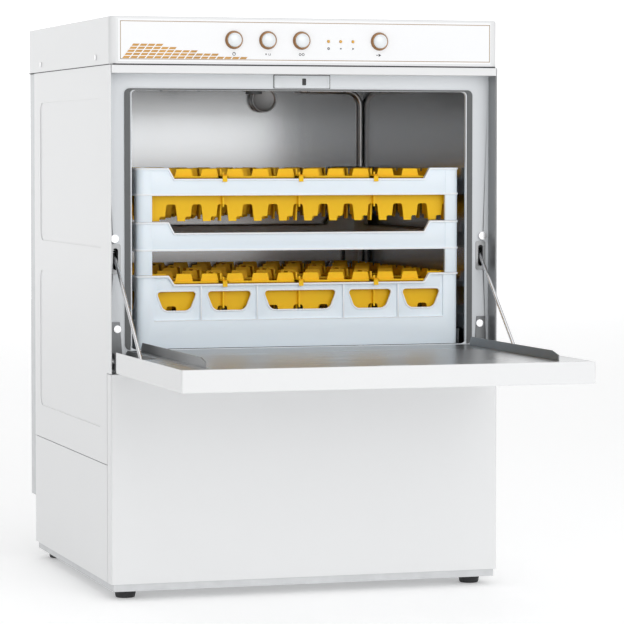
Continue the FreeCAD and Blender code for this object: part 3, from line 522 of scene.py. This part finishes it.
def dip(obj, drop, top, half=CORNER):
    """Lower the middle of all four rims, between the raised corners."""
    for turn in (0, math.pi / 2):
        wedge = block("wedge", (-half, RACK_Y - BEYOND, drop), (half, RACK_Y + BEYOND, top + 0.0005))
        pick_faces(wedge, lambda c, n: n.z < -0.9)
        bpy.ops.transform.resize(value=((half - SLOPE) / half, 1, 1))
        leave()
        if turn:
            turned = copy_to(wedge, "wedge_y", turn=turn, pivot=(0, RACK_Y))
            bpy.data.objects.remove(wedge)
            wedge = turned
        carve(obj, wedge)
    return obj


def rolled_lip(drop, top):
    """The lip that follows a rim down its slopes."""
    lip = dip(shell("lip", RACK_HALF + LIP, 0.0055 + LIP, 0.012, drop - 0.0032, top), drop, top)
    below = dip(square(0.3, drop - 0.03, top - 0.003, 0.01), drop - 0.003, top - 0.003, CORNER + 0.001)
    return paint(carve(lip, below), rim_highlight_plastic)


def corner_posts(low, high, proud=0.0008, width=0.022):
    """Four angle posts, left over when the middle of a square shell is cut away."""
    half = RACK_HALF + proud
    posts = shell("posts", half, 0.006, 0.0105, low, high)
    gap = half - width
    foot, head = low - 0.01, high + 0.01
    carve(posts, block("gap", (-gap, RACK_Y - BEYOND, foot), (gap, RACK_Y + BEYOND, head)))
    return carve(posts, block("gap", (-BEYOND, RACK_Y - gap, foot), (BEYOND, RACK_Y + gap, head)))


# %% The base: pockets, ribs and windows
base_z = rack_low.z
POCKETS = ((-0.226, -0.1555), (-0.1525, -0.069), (-0.066, 0.066), (0.069, 0.1525), (0.1555, 0.226))
WINDOWS = ((0, 0.057), (-0.110, 0.035), (0.110, 0.035), (-0.191, 0.031), (0.191, 0.031))
WALL = 0.0055
POCKET_DEPTH = 0.003


def window(centre, half, near, far, grow=0.0):
    """A window's prism: narrower at the foot, with round corners."""
    low, high = base_z + 0.056 - grow, base_z + 0.084 + grow
    obj = block("window", (centre - half - grow, near, low), (centre + half + grow, far, high))
    pick_faces(obj, lambda c, n: n.z < -0.9)
    bpy.ops.transform.resize(value=((half + grow - 0.011) / (half + grow), 1, 1))
    leave()
    return bevel_edges(obj, lambda a, b: abs((b - a).y) > 0.9 * (b - a).length, 0.007 + grow, 5)


def windows(grow=0.0, near=-BEYOND, far=BEYOND):
    return join("windows", [window(c, h, RACK_Y + near, RACK_Y + far, grow) for c, h in WINDOWS])


def quarter(obj):
    """The same shape for the other pair of walls."""
    return copy_to(obj, obj.name + "_turned", turn=math.pi / 2, pivot=(0, RACK_Y))


tray = dip(shell("tray", RACK_HALF, WALL, 0.010, base_z, rack_high.z), base_z + 0.095, rack_high.z)
pockets = []
for near, far in ((-BEYOND, POCKET_DEPTH - RACK_HALF), (RACK_HALF - POCKET_DEPTH, BEYOND)):
    for left, right in POCKETS:
        pockets.append(block("pocket", (left, RACK_Y + near, base_z + 0.042),
                             (right, RACK_Y + far, rack_high.z + 0.01)))
pockets = join("pockets", pockets)
side_pockets = quarter(pockets)
carve(tray, pockets)
carve(tray, side_pockets)
cutter = windows()
side_cutter = quarter(cutter)
carve(tray, cutter)
carve(tray, side_cutter)
print("tray faces", len(tray.data.polygons))

# %% The base: lips, window rings and the open floor
face_y = RACK_HALF - POCKET_DEPTH
rings = [windows(0.0024, -face_y - 0.0014, -face_y + 0.002), windows(0.0024, face_y - 0.002, face_y + 0.0014)]
rings = carve(join("window_rings", rings), windows())
side_rings = quarter(rings)
lattice_z = base_z + 0.016
LATTICE_BARS = 20
LATTICE_DEPTH = 1.8  # the bars are this much taller than they are wide
clear_selection()
bpy.ops.mesh.primitive_grid_add(x_subdivisions=LATTICE_BARS, y_subdivisions=LATTICE_BARS,
                                size=2 * (RACK_HALF - 0.004), location=(0, RACK_Y, lattice_z))
lattice = settle(bpy.context.object)
modify(lattice, "WIREFRAME", thickness=0.0032, use_even_offset=False)
for vertex in lattice.data.vertices:
    vertex.co.z = lattice_z + (vertex.co.z - lattice_z) * LATTICE_DEPTH
ribs = []
for side in (-1, 1):
    outer = RACK_Y + side * (RACK_HALF + 0.0006)
    inner = RACK_Y + side * (RACK_HALF - POCKET_DEPTH - 0.001)
    for x in (-0.154, -0.0675, 0.0675, 0.154):
        ribs.append(block("rib", (x - 0.0013, inner, base_z + 0.042), (x + 0.0013, outer, base_z + 0.094)))
    ribs.append(block("ledge", (-0.226, inner, base_z + 0.0405), (0.226, outer, base_z + 0.0420)))
ribs = join("ribs", ribs)
side_ribs = quarter(ribs)
for shape in (tray, lattice):
    paint(shape, rack_plastic)
for shape in (rings, side_rings, ribs, side_ribs):
    paint(shape, rim_highlight_plastic)
tray = join("rack_tray", [tray, rolled_lip(base_z + 0.095, rack_high.z), rings, side_rings, lattice, ribs,
                          side_ribs])
ease(tray, 0.0006, 2, 45)
dress(smooth(tray), rack_plastic, "rack", "rack_base", "rack_floor")

# %% Two extenders on corner posts


def extender(name, node, foot, low, drop, top):
    """An open frame of the same footprint, standing on the rim below it."""
    ring = dip(shell("ring", RACK_HALF, WALL, 0.010, low, top), drop, top)
    hem = shell("hem", RACK_HALF + LIP, WALL + LIP, 0.012, low, low + 0.003)
    posts = corner_posts(foot, top - 0.003)
    paint(hem, rim_highlight_plastic)
    for shape in (ring, posts):
        paint(shape, rack_plastic)
    obj = join(name, [ring, hem, rolled_lip(drop, top), posts])
    ease(obj, 0.0006, 2, 45)
    return dress(smooth(obj), rack_plastic, "rack", node)


extender("rack_lower_frame", "rack_extender_lower", rack_high.z + 0.0005,
         base_z + 0.144, base_z + 0.171, middle_high.z)
extender("rack_upper_frame", "rack_extender_upper", middle_high.z + 0.0005,
         base_z + 0.226, base_z + 0.251, upper_high.z)

# %% [markdown]
# ## The inserts
# Each insert is a grid of thin upright combs.  Fingers reach down between the glasses, tabs
# stand above the rim, and a flat web ties the combs together just over the frame.

# %% Combs of fingers and tabs
CELL = 0.118
PITCH = CELL / 3
FINGER_GAPS = range(-6, 7)
COMB_HALF = RACK_HALF - WALL - 0.001
HOOK_HALF = 0.044
CLIP_HALF = 0.0035


def tapered_gap(centre, half_low, half_high, low, high):
    obj = block("gap", (centre - half_high, RACK_Y - 0.01, low), (centre + half_high, RACK_Y + 0.01, high))
    pick_faces(obj, lambda c, n: n.z < -0.9)
    bpy.ops.transform.resize(value=(half_low / half_high, 1, 1))
    leave()
    return bevel_edges(obj, lambda a, b: abs((b - a).y) > 0.9 * (b - a).length, 0.003, 3)


def comb(low, root, web, high):
    """One upright sheet along X, with fingers below the root and tabs above the web."""
    sheet = block("comb", (-COMB_HALF, RACK_Y - 0.00125, low), (COMB_HALF, RACK_Y + 0.00125, high))
    steps = [(step + 0.5) * PITCH + 0.008 for step in FINGER_GAPS[:-1]]
    carve(sheet, join("steps", [tapered_gap(x, 0.006, 0.006, low - 0.004, low + 0.007) for x in steps]))
    middles = [step * PITCH for step in FINGER_GAPS]
    carve(sheet, join("gaps", [tapered_gap(x, 0.0105, 0.0070, low - 0.005, root) for x in middles]))
    return carve(sheet, join("gaps", [tapered_gap(x, 0.0055, 0.0095, web, high + 0.004) for x in middles]))


def insert(name, node, low, root, web, high):
    first = comb(low, root, web, high)
    rows = [first] + [copy_to(first, "row", shift=(0, step * CELL, 0)) for step in (-2, -1, 1, 2)]
    columns = [quarter(row) for row in rows]
    webs = []
    for step in (-1, 0, 1):
        webs.append(block("web", (-COMB_HALF, RACK_Y + step * CELL - 0.008, web),
                          (COMB_HALF, RACK_Y + step * CELL + 0.008, web + 0.0022)))
    webs += [quarter(strip) for strip in list(webs)]
    hooks = []
    for side in (-1, 1):
        inner_x, outer_x = side * (COMB_HALF - 0.012), side * (RACK_HALF - 0.0005)
        inner_y, hang_y, outer_y = (RACK_Y + side * out for out in
                                    (COMB_HALF - 0.01, RACK_HALF + 0.0023, RACK_HALF + 0.0035))
        for step in (-1, 0, 1):
            middle = step * CELL
            near, far = RACK_Y + middle - HOOK_HALF, RACK_Y + middle + HOOK_HALF
            left, right = middle - CLIP_HALF, middle + CLIP_HALF
            hooks += [block("hook", (inner_x, near, web + 0.0015), (outer_x, far, web + 0.0085)),
                      block("clip", (left, inner_y, web + 0.0022), (right, outer_y, web + 0.0046)),
                      block("clip", (left, hang_y, web - 0.006), (right, outer_y, web + 0.0046))]
    border = shell("border", COMB_HALF, 0.012, 0.006, web, web + 0.0022)
    obj = join(name, rows + columns + webs + hooks + [border])
    ease(obj, 0.0004, 1, 50)
    return dress(smooth(obj), insert_plastic, "rack", node)


insert("lower_comb", "lower_insert", base_z + 0.040, base_z + 0.062, base_z + 0.0965, base_z + 0.110)
insert("upper_comb", "upper_insert", base_z + 0.188, base_z + 0.213, base_z + 0.2525, base_z + 0.2655)

# %% [markdown]
# ## Controls
# A button is a low dome in a turned copper bezel.  The printed film has a fine border, small
# pictograms and a plain pattern of dashes that fades out to the right; it carries no words.

# %% Button caps and bezels
BODY_OF_BUTTON = {"power_button": "power_cap", "drain_button": "drain_cap", "cycle_button": "cycle_cap",
                  "start_button": "start_cap"}
button_spots = {}
for name, label in BODY_OF_BUTTON.items():
    low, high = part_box(name)
    centre = (low + high) / 2
    button_spots[name] = centre
    radius = (high.x - low.x) / 2
    cap = drum(label, (centre.x, low.y + 0.0046, centre.z), radius, 0.0088, "Y", 64)
    for inset, push in ((0.0012, 0.0009), (0.0022, 0.0007), (0.003, 0.0004)):
        pick_faces(cap, lambda c, n: n.y < -0.9 and (c.xz - centre.xz).length < 0.0005)
        bpy.ops.mesh.inset(thickness=inset)
        bpy.ops.transform.translate(value=(0, -push, 0))
        leave()
    dress(smooth(cap, 60), button_cap, name, name)

bezel_parts = []
for centre in button_spots.values():
    face = front_y - 0.0002
    ring = drum("bezel", (centre.x, face - 0.0024, centre.z), 0.0138, 0.0044, "Y", 72)
    bore = drum("bore", (centre.x, face, centre.z), 0.01055, 0.03, "Y", 72)
    pick_faces(ring, lambda c, n: n.y < -0.9)
    bpy.ops.transform.resize(value=(0.87, 1, 0.87))
    leave()
    carve(ring, bore)
    bezel_parts.append(ease(ring, 0.0005, 3, 30))
bezels = join("bezel_rings", bezel_parts)
dress(smooth(bezels, 40), copper, "casing", "button_bezels")

# %% Domed lamps
lamp_low, lamp_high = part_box("led_lenses")
lamp_parts = []
lamp_z = (lamp_low.z + lamp_high.z) / 2
lamp_radius = (lamp_high.z - lamp_low.z) / 2
for x in (lamp_low.x + lamp_radius, (lamp_low.x + lamp_high.x) / 2, lamp_high.x - lamp_radius):
    clear_selection()
    bpy.ops.mesh.primitive_uv_sphere_add(segments=32, ring_count=16, radius=lamp_radius,
                                         location=(x, front_y - 0.0006, lamp_z))
    dome = bpy.context.object
    dome.scale = (1, 0.75, 1)
    lamp_parts.append(settle(dome))
lamps = join("status_lamps", lamp_parts)
dress(smooth(lamps, 60), amber, "casing", "led_lenses")

# %% Printed film: border, pictograms and dashes
film_low, film_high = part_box("fascia_label")
print_front = film_low.y - 0.00012
print_back = film_low.y + 0.0001


def printed(low_x, low_z, high_x, high_z):
    """A thin printed rectangle on the film."""
    return block("print", (low_x, print_front, low_z), (high_x, print_back, high_z))


LINE = 0.0009
left, right = film_low.x + 0.003, film_high.x - 0.001
foot, head = film_low.z + 0.003, film_high.z - 0.003
border = join("fascia_border", [
    printed(left, foot, right, foot + LINE), printed(left, head - LINE, right, head),
    printed(left, foot, left + LINE, head), printed(right - LINE, foot, right, head)])
dress(border, gold_ink, "casing")

# %% A pattern of slanted dashes that tapers out
DASH_ROWS = ((0.0055, 16), (0.0100, 12), (0.0145, 9), (0.0190, 6), (0.0235, 4))
dashes = []
for row, (rise, count) in enumerate(DASH_ROWS):
    start = left + 0.003 + 0.0035 * row
    dash = printed(start, foot + rise - 0.0040, start + 0.0098, foot + rise - 0.0008)
    pick_faces(dash, lambda c, n: n.z > 0.9)
    bpy.ops.transform.translate(value=(0.0026, 0, 0))
    leave()
    dashes.append(modify(dash, "ARRAY", count=count, use_relative_offset=False,
                         use_constant_offset=True, constant_offset_displace=(0.0118, 0, 0)))
dashes = join("fascia_dashes", dashes)
dress(dashes, amber_ink, "casing")

# %% Pictograms


def ring_mark(x, z, radius, line=0.0004):
    clear_selection()
    bpy.ops.mesh.primitive_torus_add(major_radius=radius, minor_radius=line, major_segments=32,
                                     minor_segments=6, location=(x, print_front, z),
                                     rotation=(math.pi / 2, 0, 0))
    mark = bpy.context.object
    mark.scale = (1, 1, 0.3)
    return settle(mark)


def arrow_mark(x, z, size, turn=0.0):
    """A small solid triangle that points right before it is turned."""
    clear_selection()
    bpy.ops.mesh.primitive_cylinder_add(vertices=3, radius=size, depth=0.0002,
                                        location=(x, print_front, z), rotation=(math.pi / 2, turn, 0))
    return settle(bpy.context.object)


marks = []
ICON_DROP = 0.0205
for name, centre in button_spots.items():
    x, z = centre.x, centre.z - ICON_DROP
    if name == "power_button":
        marks += [ring_mark(x, z, 0.0022), printed(x - 0.0003, z, x + 0.0003, z + 0.003)]
    elif name == "drain_button":
        marks += [arrow_mark(x - 0.003, z, 0.0017, math.pi),
                  printed(x + 0.0008, z - 0.0016, x + 0.0042, z - 0.0010),
                  printed(x + 0.0008, z - 0.0010, x + 0.0014, z + 0.0012),
                  printed(x + 0.0036, z - 0.0010, x + 0.0042, z + 0.0012)]
    elif name == "cycle_button":
        marks += [ring_mark(x - 0.0024, z, 0.0016), ring_mark(x + 0.0024, z, 0.0016),
                  printed(x - 0.0008, z - 0.0003, x + 0.0008, z + 0.0003)]
    else:
        marks += [arrow_mark(x, z, 0.0026, math.pi / 2),
                  printed(x - 0.0048, z - 0.0006, x - 0.0026, z + 0.0006)]
icon_z = lamp_z - 0.0105
middle_x = (lamp_low.x + lamp_high.x) / 2
marks.append(ring_mark(lamp_low.x + lamp_radius, icon_z, 0.0013, 0.0006))
marks.append(printed(middle_x - 0.0012, icon_z - 0.0009, middle_x + 0.0012, icon_z + 0.0009))
marks.append(arrow_mark(lamp_high.x - lamp_radius, icon_z, 0.0019, math.pi / 2))
marks = join("fascia_marks", marks)
dress(marks, black_ink, "casing")
print("film", [round(v, 4) for v in (*film_low, *film_high)])

# %% [markdown]
# ## Sheet metal, feet and small fittings
# Folded sheet never has a razor edge.  A weld and a narrow bevel on each panel give its edges
# the thin line of light that shows where one sheet ends and the next begins.

# %% Soft folds on the sheet panels
PANELS = ("lower_front_panel", "side_skirts", "side_panel_left", "side_panel_right", "top_cover",
          "door_outer_panel", "rear_cover", "header_strip", "front_frame", "latch_plate",
          "hinge_brackets", "door_liner", "door_rails")
for name in PANELS:
    panel = nodes[name]
    weld = panel.modifiers.new("Weld", "WELD")
    weld.merge_threshold = 0.00001
    fold = panel.modifiers.new("Fold", "BEVEL")
    fold.width = 0.0005
    fold.segments = 2
    fold.limit_method = "ANGLE"
    fold.angle_limit = math.radians(50)
    fold.harden_normals = True
print("panels with soft folds", len(PANELS))

# %% Levelling feet
feet_low, feet_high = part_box("levelling_feet")
PAD_RADIUS = 0.0165
feet = []
for x in (feet_low.x + PAD_RADIUS, feet_high.x - PAD_RADIUS):
    for y in (feet_low.y + PAD_RADIUS, feet_high.y - PAD_RADIUS):
        pad = drum("pad", (x, y, 0.0062), PAD_RADIUS, 0.0124, "Z", 48)
        pick_faces(pad, lambda c, n: n.z < -0.9)
        bpy.ops.transform.resize(value=(0.86, 0.86, 1))
        leave()
        ease(pad, 0.0014, 3, 40)
        nut = drum("nut", (x, y, 0.0150), 0.0085, 0.0045, "Z", 6)
        modify(nut, "BEVEL", width=0.0004, segments=2)
        stem = drum("stem", (x, y, 0.022), 0.0042, 0.020, "Z", 24)
        feet += [pad, nut, stem]
feet = join("rubber_feet", feet)
dress(smooth(feet), rubber, "casing", "levelling_feet")

# %% Rolled lip of the chamber and the guide plates of the stay rods
face_front = frame_low.y
LIP_FOOT, LIP_TOP, HOLE_TOP = 0.366, 0.7495, 0.7478
GUIDE_FOOT, GUIDE_TOP = 0.478, 0.522
JAMB_FOOT, JAMB_TOP = 0.337, 0.7715
lip_outer = block("chamber_lip", (chamber_low.x + 0.001, face_front - 0.0018, LIP_FOOT),
                  (chamber_high.x - 0.001, face_front + 0.004, LIP_TOP))
bevel_edges(lip_outer, along("Y"), 0.009, 6)
lip_hole = block("hole", (chamber_low.x + 0.0028, face_front - 0.02, 0.30),
                 (chamber_high.x - 0.0028, face_front + 0.02, HOLE_TOP))
bevel_edges(lip_hole, along("Y"), 0.007, 6)
carve(lip_outer, lip_hole)
modify(lip_outer, "TRIANGULATE")
ease(lip_outer, 0.0007, 3, 50)
dress(smooth(lip_outer), steel_upright, "casing")

plates = []
rod_boxes = [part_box(name) for name in ("stay_rod_left", "stay_rod_right")]
for low, high in rod_boxes:
    x = (low.x + high.x) / 2
    plate = block("plate", (x - 0.0078, face_front - 0.0012, GUIDE_FOOT), (x + 0.0078, face_front, GUIDE_TOP))
    bevel_edges(plate, along("Y"), 0.0030, 4)
    slot_hole = block("slot", (x - 0.0039, face_front - 0.02, GUIDE_FOOT + 0.006),
                      (x + 0.0039, face_front + 0.02, GUIDE_TOP - 0.006))
    bevel_edges(slot_hole, along("Y"), 0.0037, 4)
    plates.append(carve(plate, slot_hole))
plates = join("stay_guides", plates)
dress(smooth(plates), steel_guide, "casing")

# %% The latch plate over the opening
latch_low, latch_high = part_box("latch_plate")
plate_x = (latch_low.x + latch_high.x) / 2
latch_shadow = block("latch_shadow", (latch_low.x - 0.0010, face_front - 0.0007, latch_low.z - 0.0004),
                     (latch_high.x + 0.0010, face_front + 0.0006, latch_high.z + 0.0012))
dress(latch_shadow, black_plastic, "casing")
strike = block("latch", (latch_low.x, face_front - 0.0016, latch_low.z),
               (latch_high.x, face_front, latch_high.z))
bevel_edges(strike, along("Y"), 0.0012, 2)
recess = block("recess", (latch_low.x + 0.010, face_front - 0.02, latch_low.z + 0.0022),
               (latch_high.x - 0.003, face_front - 0.0009, latch_high.z - 0.0022))
bevel_edges(recess, along("Y"), 0.0016, 3)
carve(strike, recess)
clips = [block("clip", (latch_low.x + 0.0015, face_front - 0.0019, z - 0.0016),
               (latch_low.x + 0.0060, face_front - 0.0008, z + 0.0016))
         for z in (latch_low.z + 0.0045, latch_high.z - 0.0045)]
strike = join("latch_strike", [strike] + clips)
ease(strike, 0.0003, 2, 40)
dress(smooth(strike), steel_upright, "casing", "latch_plate")
slot_z = (latch_low.z + latch_high.z) / 2
latch_slot = block("latch_slot", (plate_x + 0.0004, face_front - 0.0013, slot_z - 0.0050),
                   (plate_x + 0.0064, face_front - 0.0006, slot_z + 0.0050))
bevel_edges(latch_slot, along("Y"), 0.0010, 2)
dress(smooth(latch_slot), black_plastic, "casing")

# %% Bolt heads on the hinge brackets and the fixing screws beside the stay guides
BOLTS = ((0.283, 0.397, 0.0050), (0.284, 0.322, 0.0040), (0.287, 0.530, 0.0062))  # x, z, radius
heads = []
for side in (-1, 1):
    for x, z, radius in BOLTS:
        head = drum("head", (side * x, face_front - 0.0030, z), radius, 0.0032, "Y", 32)
        pick_faces(head, lambda c, n: n.y < -0.9)
        bpy.ops.mesh.inset(thickness=radius * 0.45)
        bpy.ops.transform.translate(value=(0, 0.0012, 0))
        leave()
        heads.append(ease(head, 0.0006, 3, 60))
heads = join("bolt_heads", heads)
dress(smooth(heads), bright_rod, "casing")

# %% A painted shadow line under the cover
strip_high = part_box("header_strip")[1].z
# Thin black strips fill the seam between the cover and the panels below it, at the front and along both
# sides: painted shadow for the shade in that gap.
seam_shadow_strips = [block("seam_shadow_strips", (-0.2955, front_y - 0.0004, strip_high - 0.0003),
                (0.2955, front_y + 0.0100, cover_bottom + 0.0006))]
for side in (-1, 1):
    seam_shadow_strips.append(block("seam_shadow_strips", (side * 0.2960, front_y + 0.0100, strip_high),
                        (side * (half_width + 0.0002), cover_high.y - 0.004, cover_bottom + 0.0002)))
seam_shadow_strips = join("seam_painted_shadow", seam_shadow_strips)
dress(seam_shadow_strips, rubber, "casing")

# %% Jambs darkened as painted shade, the vent cap and the riser tube
# Thin dark steel strips cover the inner faces of the side panels beside the opening: steel, and dark as well
# to stand in for the shade on those faces (painted shade).
jambs = []
for side in (-1, 1):
    jambs.append(block("jamb", (side * 0.2977, front_y + 0.003, JAMB_FOOT),
                       (side * 0.2988, face_front, JAMB_TOP)))
jambs = join("door_jambs_painted_shade", jambs)
dress(jambs, steel_guide, "casing")

cap_low, cap_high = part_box("vent_cap")
cap_centre = (cap_low + cap_high) / 2
cap_radius = (cap_high.x - cap_low.x) / 2
cap = drum("vent_disc", (cap_centre.x, (cap_low.y + cap_high.y) / 2, cap_centre.z), cap_radius,
           cap_high.y - cap_low.y, "Y", 64)
for inset, push in ((0.0026, 0.0), (0.0010, 0.0016)):
    pick_faces(cap, lambda c, n: n.y < -0.9 and (c.xz - cap_centre.xz).length < 0.0005)
    bpy.ops.mesh.inset(thickness=inset)
    bpy.ops.transform.translate(value=(0, push, 0))
    leave()
ease(cap, 0.0005, 2, 40)
dress(smooth(cap, 40), vent_steel, "casing", "vent_cap")

riser_low, riser_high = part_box("riser_tube")
PIPE = 0.0038
BEND = 0.024
riser_x, riser_y = riser_high.x - PIPE, riser_high.y - PIPE
run_z = riser_high.z - 0.043
bend_z = run_z - BEND
neck_x, neck_y = 0.150, riser_y - 0.013
over_z = riser_high.z - PIPE
hub_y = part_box("upper_arm_hub")[0].y + 0.018
spots = [(riser_x, riser_y, riser_low.z + 0.001)]
for step in range(0, 11):
    turn = step / 10 * math.pi / 2
    spots.append((riser_x - BEND + BEND * math.cos(turn), riser_y, bend_z + BEND * math.sin(turn)))
spots += [(neck_x, neck_y, run_z), (neck_x, neck_y, over_z), (0, hub_y, over_z), (0, hub_y, over_z - 0.012)]
riser = pipe("rinse_riser", spots, PIPE)
print("riser", [round(v, 3) for v in (*riser_low, *riser_high)])
dress(smooth(riser, 60), tube_steel, "casing", "riser_tube")

# %% [markdown]
# ## The stage
# A plain pale floor that curves up into a far backdrop, a large soft key light high in front, a
# low light from the front right that brightens the rear wall of the chamber, a weak fill from the
# left and a light from above.  The camera is the long lens of a catalogue picture,
# a little to the left of the machine and just above the open door.

# %% Floor, lights and camera
BACK_Y = 9  # only the backdrop's edge lies further back
FLOOR_END = 3
clear_selection()
bpy.ops.mesh.primitive_plane_add(size=1, location=(0, 0.7, -0.0005))
sweep = bpy.context.object
sweep.name = "studio_sweep"
sweep.scale = (14, 22.6, 1)
settle(sweep)
pick_edges(sweep, lambda a, b: a.y > BACK_Y and b.y > BACK_Y)
bpy.ops.mesh.extrude_region_move(TRANSFORM_OT_translate={"value": (0, 0, 10)})
leave()
bevel_edges(sweep, lambda a, b: a.y > BACK_Y and b.y > BACK_Y and a.z < 1 and b.z < 1, 3.0, 24)
smooth(sweep, 60)
floor_white = plain("floor_white", (0.93, 0.93, 0.93), 0.8, shade=0.0, scale=1, bump=0.0,
                    Emission_Color=(1, 1, 1, 1), Emission_Strength=0.25)
wall_white = plain("wall_white", (0.93, 0.93, 0.93), 0.8, shade=0.0, scale=1, bump=0.0,
                   Emission_Color=(1, 1, 1, 1), Emission_Strength=0.7)
sweep.data.materials.append(floor_white)
sweep.data.materials.append(wall_white)
for face in sweep.data.polygons:
    face.material_index = int(face.center.y > FLOOR_END)

world = bpy.data.worlds.new("studio")
world.use_nodes = True
world.node_tree.nodes["Background"].inputs["Color"].default_value = (0.99, 0.995, 1, 1)
world.node_tree.nodes["Background"].inputs["Strength"].default_value = 0.62
bpy.context.scene.world = world


def lamp(name, spot, aim, size, power):
    data = bpy.data.lights.new(name, "AREA")
    data.shape = "RECTANGLE"
    data.size, data.size_y = size
    data.energy = power
    obj = bpy.data.objects.new(name, data)
    bpy.context.collection.objects.link(obj)
    obj.location = spot
    obj.rotation_euler = (Vector(aim) - Vector(spot)).to_track_quat("-Z", "Y").to_euler()
    return obj


middle = Vector((0, front_y + 0.1, 0.45))
lamp("key_light", (0.5, -4.2, 1.9), middle, (2.4, 2.0), 38)
lamp("wall_light", (1.6, -4.9, 0.75), middle, (2.6, 2.2), 15)
lamp("fill_light", (-3.0, -2.6, 1.6), middle, (2.0, 2.4), 1)
lamp("top_light", (0, -0.6, 3.2), middle, (2.4, 2.4), 10)

camera_data = bpy.data.cameras.new("camera")
camera_data.sensor_width = 36
camera_data.lens = 174.8
camera_data.shift_x = 0.0069
camera_data.shift_y = -0.0317
camera_data.clip_end = 90
camera = bpy.data.objects.new("camera", camera_data)
bpy.context.collection.objects.link(camera)
# the lens looks at the middle of the machine's front from 17 degrees left and 2.6 degrees up
AIM = Vector((0, front_y, 0.449))
AZIMUTH, ELEVATION, DISTANCE = math.radians(-16.99), math.radians(2.62), 4.5015
back = Vector((math.sin(AZIMUTH) * math.cos(ELEVATION), -math.cos(AZIMUTH) * math.cos(ELEVATION),
               math.sin(ELEVATION)))
camera.location = AIM + DISTANCE * back
camera.rotation_euler = back.to_track_quat("Z", "Y").to_euler()
bpy.context.scene.camera = camera
bpy.context.scene.view_settings.view_transform = "Standard"
print("camera at", [round(v, 3) for v in camera.location])
